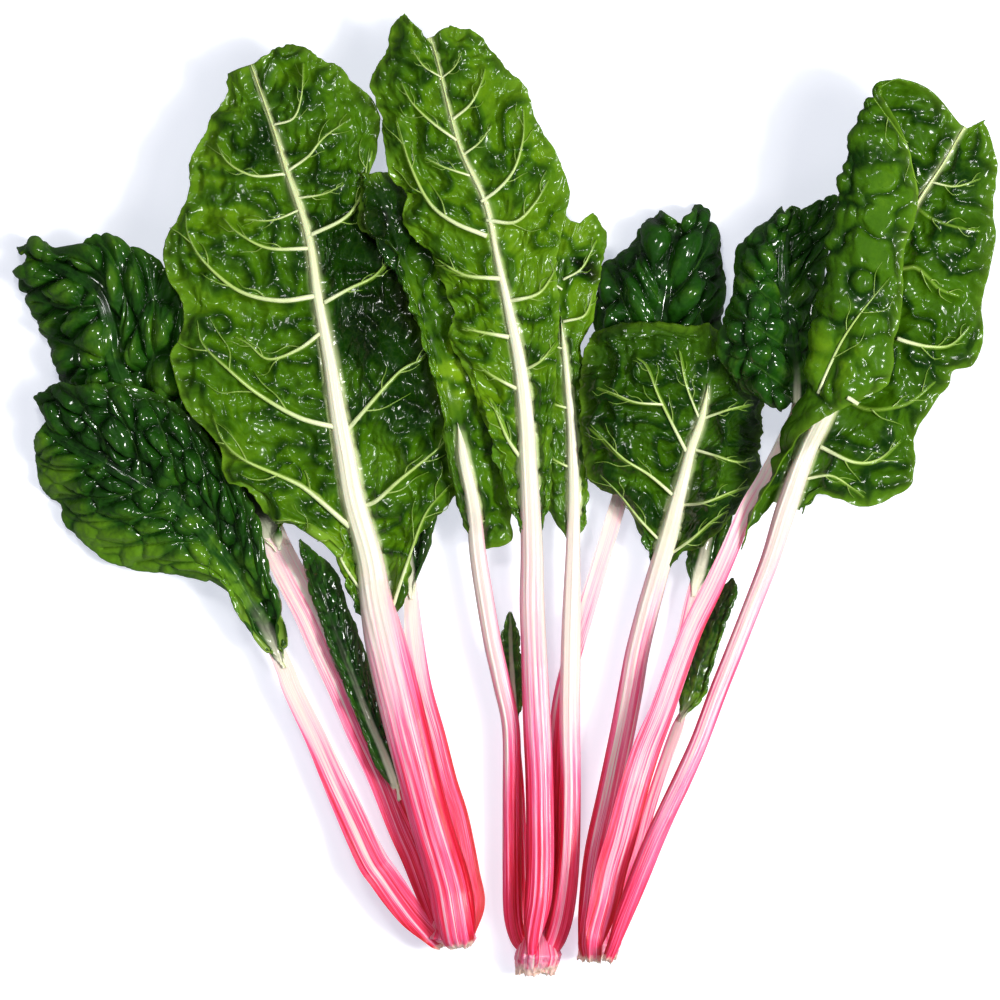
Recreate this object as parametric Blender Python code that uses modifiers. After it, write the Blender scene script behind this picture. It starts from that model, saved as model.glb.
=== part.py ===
"""A bunch of pink-stalked Swiss chard: three cut heads lying flat, seen best from straight above.

Each leaf is two solids, its stalk with the midrib and its green blade. Every leaf is drawn on one
drawing grid, x to the right and y down, with heights above the table in millimetres. Leaves are
laid down one after another, and each is lifted where it would cut into those already lying there.
"""

import math

import bmesh
import bpy
import numpy as np

BUNCH_WIDTH = 0.445
DRAWN_WIDTH = 988
STEP = BUNCH_WIDTH / DRAWN_WIDTH
MIDDLE_X = 498
MIDDLE_Y = 497.5
MM = 0.001

BLADE_THICKNESS = 0.9 * MM
RIB_GAP = 0.5 * MM
RIB_MARGIN = 1.2 * MM
LEAF_CLEARANCE = 1.4 * MM
LEAST_LOBE = 2.5 * MM
LOBE_START = 0.4
STALK_FLATNESS = 0.42
STALK_LEAST_HEIGHT = 0.8 * MM
STALK_ROWS = 7
STEEPEST_LIFT = 0.55
MARGIN_LEAD = 0.88
TABLE_CELL = 1.5 * MM
TABLE_HALF = 260 * MM

# Share of the width and of the height at each corner of a stalk's section, flat face down.
STALK_SECTION = [
    (-0.42, 0.0), (0.42, 0.0), (0.50, 0.35), (0.36, 0.78),
    (0.12, 1.0), (-0.12, 1.0), (-0.36, 0.78), (-0.50, 0.35),
]

# A leaf's spine runs from its cut base to its tip as (x, y, height, width).
# Side lines run the same way from the blade's start, each as (x, y, height), from the rib outwards.
LEAVES = [
    dict(
        name="left_hidden", shows="upper", start=8, rows=10, left_cells=3, right_cells=3,
        laterals=4, dome=2.0, arch=2.0, wave=1.5, waves=4,
        spine=[(468, 932, 10, 16), (474, 905, 10, 22), (469, 875, 10, 22), (458, 820, 10, 22),
               (446, 782, 10, 22), (434, 735, 10, 22), (421, 687, 10, 21), (414, 640, 11, 19),
               (411, 600, 12, 15), (405, 520, 14, 10), (408, 440, 16, 8), (416, 360, 18, 6),
               (424, 290, 18, 4)],
        left=[[(402, 595, 12), (385, 520, 12), (372, 460, 13), (370, 400, 14), (380, 330, 16),
               (405, 280, 17)]],
        right=[[(420, 595, 12), (430, 540, 13), (444, 480, 14), (448, 420, 15), (446, 350, 16),
                (438, 290, 17)]],
    ),
    dict(
        name="left_broad", shows="upper", start=10, rows=18, left_cells=5, right_cells=5,
        laterals=7, dome=4.0, arch=7.0, wave=2.5, waves=5,
        spine=[(442, 930, 9, 18), (431, 901, 9, 26), (416, 859, 9, 30), (403, 829, 10, 31),
               (384, 779, 10, 33), (364, 735, 11, 34), (343, 686, 12, 34), (326, 649, 13, 35),
               (310, 613, 14, 34), (294, 583, 15, 32), (278, 551, 17, 30), (264, 520, 19, 28),
               (243, 488, 22, 26), (218, 466, 24, 22), (190, 442, 26, 18), (160, 420, 27, 15),
               (132, 395, 27, 13), (115, 360, 28, 10), (110, 325, 29, 8), (95, 290, 26, 6),
               (60, 268, 20, 4), (25, 258, 12, 3)],
        left=[[(262, 556, 16), (243, 540, 16), (222, 515, 16), (195, 500, 14), (160, 480, 12),
               (120, 455, 10), (85, 425, 8), (62, 395, 6), (46, 353, 5), (33, 316, 3),
               (22, 290, 2), (8, 272, 2)]],
        right=[[(294, 546, 18), (290, 520, 20), (280, 490, 22), (262, 440, 26), (240, 390, 30),
                (215, 340, 32), (190, 295, 32), (171, 272, 30), (149, 252, 28), (103, 238, 22),
                (61, 247, 15), (33, 242, 8), (14, 246, 5)]],
    ),
    dict(
        name="left_outer", shows="upper", start=9, rows=18, left_cells=5, right_cells=5,
        laterals=8, dome=3.0, arch=5.0, wave=3.0, waves=7,
        spine=[(430, 937, 12, 16), (413, 918, 12, 26), (398, 898, 12, 30), (384, 878, 12, 31),
               (370, 857, 13, 31), (345, 804, 13, 28), (332, 776, 14, 25), (316, 740, 14, 22),
               (293, 692, 16, 20), (284, 668, 17, 18), (266, 628, 18, 15), (252, 605, 20, 14),
               (238, 580, 22, 13), (222, 555, 24, 13), (200, 525, 27, 12), (172, 500, 29, 11),
               (140, 483, 29, 9), (105, 463, 27, 7), (70, 445, 22, 5), (42, 425, 15, 3)],
        left=[[(274, 672, 15), (258, 636, 14), (244, 614, 14), (232, 599, 13), (213, 584, 13),
               (197, 577, 12), (182, 574, 11), (155, 572, 9), (116, 564, 7), (87, 546, 5),
               (66, 527, 4), (60, 505, 4), (40, 490, 3), (33, 459, 2), (30, 440, 2)]],
        right=[[(296, 668, 17), (290, 640, 17), (282, 616, 19), (276, 594, 21), (267, 568, 24),
                (260, 530, 28), (250, 500, 31), (230, 465, 34), (205, 430, 36), (175, 402, 36),
                (140, 388, 34), (110, 384, 30), (83, 386, 25), (55, 386, 17), (36, 400, 9)]],
    ),
    dict(
        name="left_inner", shows="upper", start=3, rows=14, left_cells=2, right_cells=2,
        laterals=6, dome=1.5, arch=1.5, wave=2.2, waves=6,
        spine=[(456, 928, 9, 12), (436, 880, 9, 12), (416, 835, 9, 11), (400, 800, 9, 10),
               (388, 765, 10, 9), (370, 722, 11, 8), (352, 676, 13, 7), (338, 640, 14, 6),
               (320, 590, 15, 5), (300, 540, 15, 3)],
        left=[[(394, 806, 9), (384, 775, 10), (370, 738, 11), (358, 712, 12), (350, 668, 13),
               (338, 640, 14), (326, 610, 15), (310, 578, 15), (292, 545, 15)]],
        right=[[(404, 797, 9), (398, 745, 11), (384, 700, 12), (368, 655, 13), (350, 610, 14),
                (330, 560, 15), (306, 530, 15)]],
    ),
    dict(
        name="left_front", shows="underside", start=7, rows=20, left_cells=5, right_cells=5,
        laterals=8, dome=-2.5, arch=4.0, wave=3.0, waves=8,
        spine=[(458, 936, 8, 34), (454, 912, 8, 43), (448, 880, 8, 44), (433, 830, 8, 42),
               (420, 782, 8, 42), (407, 730, 10, 44), (396, 685, 12, 44), (385, 640, 14, 41),
               (376, 600, 16, 34), (369, 555, 19, 28), (354, 500, 24, 25), (346, 455, 27, 23),
               (338, 411, 30, 20), (330, 360, 33, 17), (319, 300, 36, 14), (309, 236, 37, 11),
               (289, 175, 36, 8), (274, 128, 34, 5), (252, 66, 30, 3)],
        left=[[(362, 636, 15), (352, 600, 16), (342, 562, 17), (333, 544, 18), (300, 524, 20),
               (270, 519, 22), (248, 493, 24), (227, 481, 26), (221, 448, 29), (191, 411, 33),
               (175, 358, 36), (187, 317, 37), (169, 274, 38), (167, 242, 38), (190, 200, 36),
               (193, 155, 33), (222, 100, 29), (228, 75, 27)]],
        right=[[(407, 636, 15), (409, 600, 16), (411, 575, 17), (414, 545, 19), (438, 515, 22),
                (456, 492, 24), (456, 465, 25), (450, 430, 24), (440, 380, 23), (425, 330, 23),
                (400, 262, 24), (380, 215, 26), (366, 190, 28), (375, 150, 30), (379, 112, 30),
                (345, 75, 30), (300, 48, 29), (274, 50, 29)]],
    ),
    dict(
        name="middle_back", shows="upper", start=6, rows=12, left_cells=4, right_cells=4,
        laterals=4, dome=5.0, arch=10.0, wave=2.0, waves=4,
        spine=[(548, 945, 9, 18), (553, 880, 9, 18), (556, 780, 9, 18), (562, 700, 10, 18),
               (583, 622, 10, 18), (603, 555, 11, 17), (621, 495, 12, 16), (640, 430, 14, 13),
               (652, 370, 17, 10), (662, 310, 20, 8), (670, 260, 20, 6), (678, 222, 17, 3)],
        left=[[(608, 480, 10), (606, 430, 10), (600, 380, 11), (594, 335, 12), (594, 300, 12),
               (604, 264, 10), (625, 247, 7), (644, 224, 3), (662, 209, 0)]],
        right=[[(640, 495, 11), (668, 450, 12), (695, 400, 14), (715, 350, 14), (725, 300, 11),
                (726, 262, 7), (723, 235, 3), (713, 212, 0), (695, 205, 0)]],
    ),
    dict(
        name="right_inner", shows="upper", start=5, rows=8, left_cells=2, right_cells=2,
        laterals=3, dome=1.5, arch=1.5, wave=1.5, waves=3,
        spine=[(604, 930, 7, 12), (630, 832, 7, 14), (652, 745, 8, 14), (672, 682, 9, 14),
               (686, 632, 9, 15), (694, 597, 10, 15), (706, 550, 10, 12), (716, 500, 11, 9),
               (722, 455, 11, 6), (727, 425, 11, 3)],
        left=[[(684, 600, 9), (680, 585, 9), (688, 550, 9), (700, 510, 10), (706, 465, 10),
               (716, 428, 10)]],
        right=[[(706, 602, 10), (718, 575, 10), (728, 535, 10), (736, 490, 10), (740, 450, 10),
                (736, 425, 10)]],
    ),
    dict(
        name="right_small", shows="upper", start=4, rows=12, left_cells=2, right_cells=2,
        laterals=5, dome=1.5, arch=1.5, wave=2.2, waves=5,
        spine=[(612, 928, 8, 10), (636, 860, 8, 12), (650, 809, 8, 12), (664, 766, 9, 12),
               (680, 722, 10, 12), (694, 688, 11, 11), (704, 655, 12, 9), (720, 608, 14, 6),
               (733, 578, 15, 3)],
        left=[[(671, 718, 9), (678, 685, 10), (690, 650, 11), (706, 618, 13), (722, 585, 14)]],
        right=[[(688, 734, 9), (698, 704, 11), (714, 664, 13), (726, 622, 14), (742, 594, 15),
                (744, 575, 15)]],
    ),
    dict(
        name="middle_sprig", shows="upper", start=3, rows=8, left_cells=1, right_cells=1,
        laterals=3, dome=1.0, arch=1.0, wave=1.2, waves=4,
        spine=[(528, 940, 5, 8), (524, 880, 6, 8), (521, 800, 7, 8), (516, 735, 8, 7),
               (513, 690, 9, 6), (511, 650, 10, 5), (510, 612, 11, 3)],
        left=[[(510, 730, 8), (504, 690, 9), (499, 650, 10), (502, 612, 11)]],
        right=[[(520, 728, 8), (522, 690, 9), (521, 650, 10), (518, 612, 11)]],
    ),
    dict(
        name="middle_small", shows="underside", start=9, rows=18, left_cells=3, right_cells=3,
        laterals=6, dome=-2.0, arch=3.0, wave=3.0, waves=8,
        spine=[(526, 952, 8, 12), (518, 940, 8, 16), (513, 915, 8, 19), (512, 870, 9, 19),
               (512, 800, 9, 19), (511, 730, 10, 18), (502, 685, 11, 18), (493, 645, 12, 18),
               (485, 600, 13, 18), (478, 555, 15, 17), (473, 505, 16, 15), (464, 460, 18, 12),
               (457, 420, 20, 9), (442, 365, 22, 6), (424, 310, 24, 5), (404, 262, 25, 4),
               (385, 210, 25, 4), (372, 175, 24, 3)],
        left=[[(466, 550, 14), (458, 490, 16), (450, 440, 18), (448, 400, 20), (440, 352, 21),
               (414, 302, 22), (400, 265, 22), (374, 240, 22), (357, 226, 22), (361, 195, 22),
               (364, 172, 21)]],
        right=[[(490, 560, 15), (503, 570, 15), (512, 530, 16), (511, 480, 18), (506, 430, 20),
                (495, 380, 22), (478, 330, 24), (455, 275, 25), (425, 215, 25),
                (390, 172, 24)]],
    ),
    dict(
        name="middle_side", shows="underside", start=9, rows=14, left_cells=3, right_cells=3,
        laterals=6, dome=-1.8, arch=2.0, wave=2.0, waves=6,
        spine=[(550, 953, 8, 16), (556, 938, 8, 22), (562, 915, 9, 24), (567, 880, 9, 23),
               (570, 840, 10, 21), (571, 788, 10, 20), (570, 725, 11, 21), (571, 650, 12, 20),
               (572, 600, 13, 18), (573, 555, 14, 15), (574, 500, 17, 13), (573, 460, 18, 12),
               (571, 420, 20, 10), (566, 366, 22, 8), (561, 317, 23, 6), (562, 280, 23, 5),
               (568, 245, 23, 4), (575, 222, 22, 3)],
        left=[[(562, 552, 13), (550, 520, 14), (542, 480, 16), (539, 430, 18), (538, 380, 20),
               (534, 330, 21), (532, 280, 22), (543, 240, 22), (562, 212, 21)]],
        right=[[(585, 550, 13), (588, 500, 15), (585, 440, 18), (584, 400, 19), (583, 365, 20),
                (582, 342, 20), (592, 318, 19), (599, 283, 19), (604, 257, 19), (606, 235, 19),
                (592, 213, 19)]],
    ),
    dict(
        name="right_low", shows="underside", start=8, rows=16, left_cells=5, right_cells=5,
        laterals=5, dome=-2.2, arch=2.0, wave=2.0, waves=5,
        spine=[(586, 940, 6, 16), (590, 905, 6, 23), (597, 851, 6, 25), (610, 792, 7, 25),
               (622, 736, 8, 25), (631, 690, 9, 25), (637, 656, 10, 24), (646, 618, 12, 23),
               (655, 585, 13, 22), (667, 542, 17, 21), (676, 507, 20, 18), (683, 480, 22, 15),
               (691, 448, 25, 13), (701, 419, 28, 11), (707, 387, 30, 8), (708, 360, 31, 6),
               (706, 335, 29, 4), (704, 324, 25, 3)],
        left=[[(645, 566, 15), (640, 510, 22), (640, 450, 28), (640, 400, 33), (640, 355, 33),
               (641, 329, 27), (641, 322, 21)],
              [(643, 574, 12), (638, 525, 12), (621, 499, 12), (600, 491, 12), (587, 474, 13),
               (583, 440, 15), (580, 400, 18), (582, 360, 20), (586, 340, 18), (590, 332, 13)]],
        right=[[(672, 572, 15), (690, 540, 19), (715, 490, 24), (730, 440, 28), (738, 400, 29),
                (737, 365, 27), (733, 342, 22)],
               [(670, 577, 12), (679, 557, 10), (702, 547, 6), (728, 522, 3), (753, 492, 1),
                (762, 450, 1), (764, 410, 2), (762, 385, 5), (756, 365, 7)]],
    ),
    dict(
        name="right_curled", shows="upper", start=17, rows=12, left_cells=4, right_cells=3,
        laterals=4, dome=3.0, arch=2.0, wave=2.0, waves=4,
        spine=[(594, 942, 16, 16), (597, 926, 16, 24), (604, 900, 16, 30), (611, 868, 15, 31),
               (621, 834, 15, 30), (632, 792, 15, 29), (645, 750, 16, 28), (661, 710, 18, 25),
               (679, 660, 20, 23), (693, 625, 22, 21), (710, 590, 25, 20), (727, 553, 28, 18),
               (746, 508, 30, 16), (761, 482, 31, 15), (775, 455, 31, 13), (786, 430, 32, 11),
               (792, 418, 33, 10), (795, 404, 33, 9), (795, 370, 34, 8), (788, 320, 34, 7),
               (782, 275, 32, 6), (785, 235, 28, 4), (798, 208, 24, 3)],
        left=[[(785, 405, 35), (762, 380, 38), (752, 340, 40), (755, 290, 38), (762, 250, 33),
               (784, 214, 27)],
              [(783, 414, 31), (744, 392, 28), (722, 370, 25), (716, 350, 24), (721, 318, 24),
               (732, 295, 23), (738, 257, 20), (749, 237, 18), (767, 222, 17),
               (784, 207, 17)]],
        right=[[(806, 410, 33), (812, 370, 32), (818, 320, 30), (824, 270, 27), (834, 225, 23),
                (837, 198, 20), (822, 200, 20)]],
    ),
    dict(
        name="right_tall", shows="underside", start=11, rows=20, left_cells=8, right_cells=4,
        laterals=7, dome=-2.0, arch=0.0, wave=2.2, waves=7, folded_lines=2,
        spine=[(614, 938, 10, 13), (623, 913, 10, 17), (637, 877, 11, 20), (652, 840, 12, 20),
               (667, 807, 13, 19), (681, 778, 14, 19), (698, 740, 16, 18), (717, 690, 19, 18),
               (734, 648, 22, 18), (753, 600, 25, 18), (769, 558, 29, 19), (785, 506, 34, 21),
               (804, 453, 38, 20), (821, 418, 41, 19), (840, 375, 44, 15), (862, 320, 46, 11),
               (885, 262, 48, 8), (912, 208, 50, 6), (938, 168, 50, 4), (960, 130, 48, 3)],
        left=[[(762, 519, 33), (778, 470, 37), (800, 425, 41), (818, 370, 43), (836, 310, 45),
               (854, 255, 47), (871, 200, 48), (886, 155, 49), (904, 118, 50), (928, 96, 51)],
              [(752, 530, 33), (770, 483, 38), (790, 440, 45), (801, 400, 50), (810, 355, 53),
               (817, 305, 55), (824, 255, 57), (833, 215, 57), (846, 165, 58), (857, 125, 57),
               (870, 102, 55), (900, 84, 53)],
              [(747, 540, 33), (764, 490, 40), (788, 444, 51), (812, 410, 59), (838, 375, 63),
               (850, 335, 65), (858, 285, 65), (867, 230, 65), (873, 180, 64), (872, 140, 61),
               (867, 108, 58), (882, 87, 55)],
              [(742, 550, 33), (758, 500, 41), (786, 448, 54), (812, 422, 61), (850, 402, 62),
               (880, 386, 62), (888, 362, 62), (890, 334, 62), (897, 300, 62), (897, 256, 62),
               (911, 213, 61), (905, 165, 60), (889, 120, 59), (869, 92, 56)]],
        right=[[(800, 505, 36), (835, 475, 40), (862, 440, 43), (890, 390, 46), (915, 340, 48),
                (932, 280, 50), (945, 230, 52), (957, 180, 51), (968, 124, 47)],
               [(797, 514, 34), (818, 495, 34), (855, 506, 33), (882, 502, 33), (908, 488, 34),
                (913, 460, 36), (912, 435, 38), (930, 405, 40), (945, 385, 41), (951, 372, 42),
                (971, 366, 43), (981, 340, 44), (978, 300, 46), (985, 264, 47), (990, 236, 48),
                (988, 215, 48), (992, 170, 47), (987, 140, 46), (977, 121, 46)]],
    ),
    dict(
        name="middle_front", shows="underside", start=9, rows=22, left_cells=4, right_cells=4,
        laterals=9, dome=-2.2, arch=4.0, wave=2.6, waves=8,
        spine=[(532, 944, 14, 12), (534, 926, 14, 21), (538, 900, 14, 27), (540, 865, 13, 28),
               (540, 820, 13, 28), (539, 770, 12, 28), (537, 725, 12, 28), (534, 650, 14, 26),
               (532, 600, 16, 25), (532, 555, 18, 23), (530, 500, 22, 21), (528, 460, 25, 19),
               (526, 420, 29, 18), (520, 366, 33, 15), (509, 312, 36, 12), (497, 258, 39, 8),
               (485, 204, 40, 6), (459, 146, 40, 5), (437, 60, 36, 3.5), (430, 40, 35, 3)],
        left=[[(521, 548, 18), (512, 510, 20), (500, 470, 22), (486, 430, 24), (470, 385, 27),
               (450, 338, 30), (453, 312, 32), (433, 254, 35), (417, 245, 36), (403, 218, 36),
               (405, 195, 36), (390, 180, 35), (380, 115, 34), (373, 85, 33), (389, 52, 32),
               (392, 32, 32), (407, 18, 32)]],
        right=[[(546, 548, 18), (548, 510, 20), (549, 460, 22), (551, 420, 25), (554, 380, 27),
                (557, 345, 29), (560, 300, 31), (558, 262, 33), (566, 220, 35), (568, 190, 36),
                (552, 148, 37), (534, 116, 37), (526, 91, 37), (502, 66, 36), (481, 38, 35),
                (450, 27, 34)]],
    ),
]

# Each crown is a short cut stub: rings of (x, y, width, height), from the stalks down to the cut.
CROWNS = [
    dict(name="crown_left", rings=[(452, 939, 52, 28), (453, 942, 46, 24), (453, 948, 30, 16)]),
    dict(name="crown_middle", rings=[(538, 956, 50, 26), (537, 966, 46, 22), (535, 978, 32, 15)]),
    dict(name="crown_right", rings=[(600, 944, 46, 26), (599, 953, 42, 23), (597, 963, 32, 17)]),
]
CROWN_CORNERS = 12
CROWN_FLAT = 0.70

SEED = 11
BLADE_GREENS = {"upper": (0.012, 0.060, 0.010), "underside": (0.075, 0.200, 0.022)}
STALK_PINK = (0.80, 0.30, 0.38)
CROWN_CREAM = (0.82, 0.58, 0.48)


def clear_scene():
    for old in list(bpy.data.objects):
        bpy.data.objects.remove(old, do_unlink=True)


def on_table(points):
    """Drawing-grid points as metres, with the bunch's middle at the origin."""
    points = np.array(points, float)
    points[:, 0] = (points[:, 0] - MIDDLE_X) * STEP
    points[:, 1] = (MIDDLE_Y - points[:, 1]) * STEP
    points[:, 2] *= MM
    points[:, 3:] *= STEP
    return points


def dense_curve(points, per_span=14):
    """A smooth curve through the given points, and each dense point's share of its length."""
    ends = np.vstack([2 * points[0] - points[1], points, 2 * points[-1] - points[-2]])
    t = np.linspace(0, 1, per_span, endpoint=False)[:, None]
    spans = []
    for a, b, c, d in zip(ends, ends[1:], ends[2:], ends[3:]):
        bend = (2 * a - 5 * b + 4 * c - d) * t**2 + (3 * b - a - 3 * c + d) * t**3
        spans.append(0.5 * (2 * b + (c - a) * t + bend))
    curve = np.vstack(spans + [points[-1:]])
    steps = np.linalg.norm(np.diff(curve[:, :2], axis=0), axis=1)
    length = np.concatenate([[0], np.cumsum(steps)])
    return curve, length / length[-1]


def along(points, shares, per_span=14):
    curve, length = dense_curve(points, per_span)
    return np.stack([np.interp(shares, length, column) for column in curve.T], axis=1)


def across(stops, cells):
    """Points spread from the first stop to the last by a smooth curve, the first one left out."""
    if len(stops) == 2:
        share = (np.arange(1, cells + 1) / cells)[:, None]
        return stops[0] * (1 - share) + stops[1] * share
    curve, length = dense_curve(np.array(stops), 8)
    share = np.arange(1, cells + 1) / cells * (len(stops) - 1)
    knots = np.arange(len(curve)) / 8
    return np.stack([np.interp(share, knots, column) for column in curve.T], axis=1)


def side_normals(spine):
    """Unit vectors to the left of the spine, level with the table."""
    ahead = np.gradient(spine[:, :2], axis=0)
    ahead /= np.linalg.norm(ahead, axis=1)[:, None]
    return np.stack([-ahead[:, 1], ahead[:, 0]], axis=1)


def stalk_height(width):
    return STALK_FLATNESS * width + STALK_LEAST_HEIGHT


def spine_stations(leaf):
    """Stations along the whole stalk and midrib, and how many of them come before the blade."""
    points = on_table(leaf["spine"])
    curve, length = dense_curve(points)
    start = length[leaf["start"] * 14]
    before = np.linspace(0, start, STALK_ROWS + 1)[:-1]
    within = np.linspace(start, 1, leaf["rows"] + 1)
    stations = np.stack(
        [np.interp(np.concatenate([before, within]), length, column) for column in curve.T], axis=1
    )
    return stations, STALK_ROWS


def pushed_out(points, spine, normals, reach, side):
    """Side points moved outwards where they would come too close to the rib."""
    offset = (points[:, :2] - spine[:, :2]) * normals * side
    short = np.maximum(reach - offset.sum(axis=1), 0)
    points[:, :2] += normals * (side * short)[:, None]
    return points


def relief(leaf, share, out, side, rng):
    """Puckers between the lateral veins and waves at the margin, in metres of height."""
    dome = abs(math.sin(math.pi * leaf["laterals"] * share)) - 0.5
    puckers = leaf["dome"] * dome * math.sin(math.pi * min(out * 1.15, 1.0))
    turn = 2 * math.pi * leaf["waves"] * share + (0.0 if side < 0 else 1.9)
    waves = leaf["wave"] * math.sin(turn + 0.8 * math.sin(2.7 * turn)) * out**3
    return (puckers + waves + rng.uniform(-0.3, 0.3)) * MM


def blade_net(leaf):
    """The blade as rows from its start to its tip, and columns from the left margin to the right."""
    rng = np.random.default_rng(SEED + len(leaf["name"]))
    stations, first = spine_stations(leaf)
    spine = stations[first:]
    normals = side_normals(stations)[first:]
    shares = np.linspace(0, 1, leaf["rows"] + 1)
    strip = spine[:, 3] / 2 + RIB_MARGIN
    sides = {}
    for side, lines, cells in ((1, leaf["left"], leaf["left_cells"]),
                               (-1, leaf["right"], leaf["right_cells"])):
        edge = spine[:, :3].copy()
        edge[:, :2] += normals * (side * strip)[:, None]
        stops = [edge]
        beside_rib = len(lines) - (leaf.get("folded_lines", 0) if side > 0 else 0)
        for number, line in enumerate(lines, 1):
            points = along(on_table(line), shares**MARGIN_LEAD)
            if number <= beside_rib:
                reach = strip + number * LEAST_LOBE * np.minimum(LOBE_START + shares * 5, 1.0)
                points = pushed_out(points, spine, normals, reach, side)
            stops.append(points)
        rows = []
        for row, share in enumerate(shares):
            points = across([stop[row] for stop in stops], cells)
            for cell in range(cells):
                out = (cell + 1) / cells
                points[cell, 2] += leaf["arch"] * MM * 4 * out * (1 - out)
                points[cell, 2] += relief(leaf, share, out, side, rng)
            rows.append(points)
        sides[side] = (edge, np.array(rows))
    left_edge, left = sides[1]
    right_edge, right = sides[-1]
    middle = np.stack([left_edge, spine[:, :3], right_edge], axis=1)
    return np.concatenate([left[:, ::-1], middle, right], axis=1)


def between(net, times):
    """The net with more points between its rows and its columns."""
    def filled(rows):
        t = (np.arange(times) / times).reshape(1, times, 1, 1)
        spans = rows[:-1, None] * (1 - t) + rows[1:, None] * t
        return np.concatenate([spans.reshape(-1, *rows.shape[1:]), rows[-1:]])

    return filled(filled(net).transpose(1, 0, 2)).transpose(1, 0, 2)


def table_cells(points):
    index = ((points[..., :2] + TABLE_HALF) / TABLE_CELL).astype(int)
    return index[..., 1], index[..., 0]


def widened(heights):
    """Each cell takes the highest of itself and its neighbours."""
    padded = np.pad(heights, 1, mode="edge")
    size = heights.shape[0]
    nearby = [padded[a:a + size, b:b + size] for a in range(3) for b in range(3)]
    return np.max(nearby, axis=0)


def stalk_band(stations, normals):
    """Points across the flat face of a stalk, with its width."""
    shares = np.linspace(-0.5, 0.5, 5)
    band = np.repeat(stations[:, None, :3], len(shares), axis=1)
    offsets = shares[None, :, None] * stations[:, 3][:, None, None]
    band[..., :2] += normals[:, None] * offsets
    return band


def raised_to(heights, points, bottoms):
    rows, columns = table_cells(points)
    return np.maximum(heights[rows, columns] - bottoms, 0)


def spread_lift(lift, spacing, axis):
    """Neighbours follow a lift, no steeper than the steepest slope."""
    step = STEEPEST_LIFT * spacing
    lift = np.moveaxis(lift, axis, 0)
    for i in range(1, len(lift)):
        lift[i] = np.maximum(lift[i], lift[i - 1] - step)
    for i in range(len(lift) - 2, -1, -1):
        lift[i] = np.maximum(lift[i], lift[i + 1] - step)
    return np.moveaxis(lift, 0, axis)


def lay_down(leaf, heights):
    """Lifts the leaf clear of what lies below it, then adds it to the heights on the table."""
    stations, first = spine_stations(leaf)
    normals = side_normals(stations)
    net = blade_net(leaf)
    middle = leaf["left_cells"] + 1
    times = 6
    below = widened(heights) + LEAF_CLEARANCE
    spacing = float(np.median(np.linalg.norm(np.diff(net[:, middle, :2], axis=0), axis=1)))
    hang = BLADE_THICKNESS / 2
    for _ in range(14):
        fine = between(net, times)
        need = raised_to(below, fine, fine[..., 2] - hang)
        lift = np.zeros(net.shape[:2])
        for row in range(net.shape[0]):
            rows = slice(max(row - 1, 0) * times, (row + 1) * times + 1)
            for column in range(net.shape[1]):
                columns = slice(max(column - 1, 0) * times, (column + 1) * times + 1)
                lift[row, column] = need[rows, columns].max()
        rib_low = stalk_height(stations[:, 3]) + RIB_GAP if leaf["shows"] == "upper" else 0.0
        dense = between(stalk_band(stations, normals), times)
        lows = np.repeat((stations[:, 2] - rib_low)[:, None], 5, axis=1)[..., None]
        lows = between(lows, times)[..., 0]
        need = raised_to(below, dense, lows - hang).max(axis=1)
        stalk_lift = np.array([
            need[max(i - 1, 0) * times:(i + 1) * times + 1].max() for i in range(len(stations))
        ])
        strip = lift[:, middle - 1:middle + 2].max(axis=1)
        stalk_lift[first:] = np.maximum(stalk_lift[first:], strip)
        stalk_lift = spread_lift(stalk_lift, spacing, 0)
        if leaf.get("folded_lines"):
            stalk_lift[first:] = np.maximum(stalk_lift[first:], lift.max(axis=1))
            stalk_lift = spread_lift(stalk_lift, spacing, 0)
            lift = np.repeat(stalk_lift[first:, None], net.shape[1], axis=1)
        else:
            lift[:, middle - 1:middle + 2] = stalk_lift[first:, None]
            lift = spread_lift(spread_lift(lift, spacing, 0), spacing * 0.8, 1)
            strip = lift[:, middle - 1:middle + 2].max(axis=1)
            lift[:, middle - 1:middle + 2] = strip[:, None]
            stalk_lift[first:] = strip
        net[..., 2] += lift
        stations[:, 2] += stalk_lift
        if max(lift.max(), stalk_lift.max()) < 0.02 * MM:
            break
    settle(leaf, stations, normals, net, heights)
    return stations, normals, net


def settle(leaf, stations, normals, net, heights):
    fine = between(net, 7)
    rows, columns = table_cells(fine)
    np.maximum.at(heights, (rows, columns), fine[..., 2] + BLADE_THICKNESS / 2)
    dense = between(stalk_band(stations, normals), 7)
    rise = stalk_height(stations[:, 3]) + RIB_GAP if leaf["shows"] == "underside" else 0.0
    tops = np.repeat((stations[:, 2] + rise)[:, None], 5, axis=1)[..., None]
    rows, columns = table_cells(dense)
    np.maximum.at(heights, (rows, columns), between(tops, 7)[..., 0] + BLADE_THICKNESS / 2)


def material(name, colour, roughness):
    made = bpy.data.materials.new(name)
    made.use_nodes = True
    shader = made.node_tree.nodes["Principled BSDF"]
    shader.inputs["Base Color"].default_value = (*colour, 1.0)
    shader.inputs["Roughness"].default_value = roughness
    shader.inputs["Metallic"].default_value = 0.0
    return made


def add_object(name, bm, collection, look):
    mesh = bpy.data.meshes.new(name)
    bm.to_mesh(mesh)
    bm.free()
    mesh.shade_smooth()
    mesh.materials.append(look)
    made = bpy.data.objects.new(name, mesh)
    collection.objects.link(made)
    return made


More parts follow.
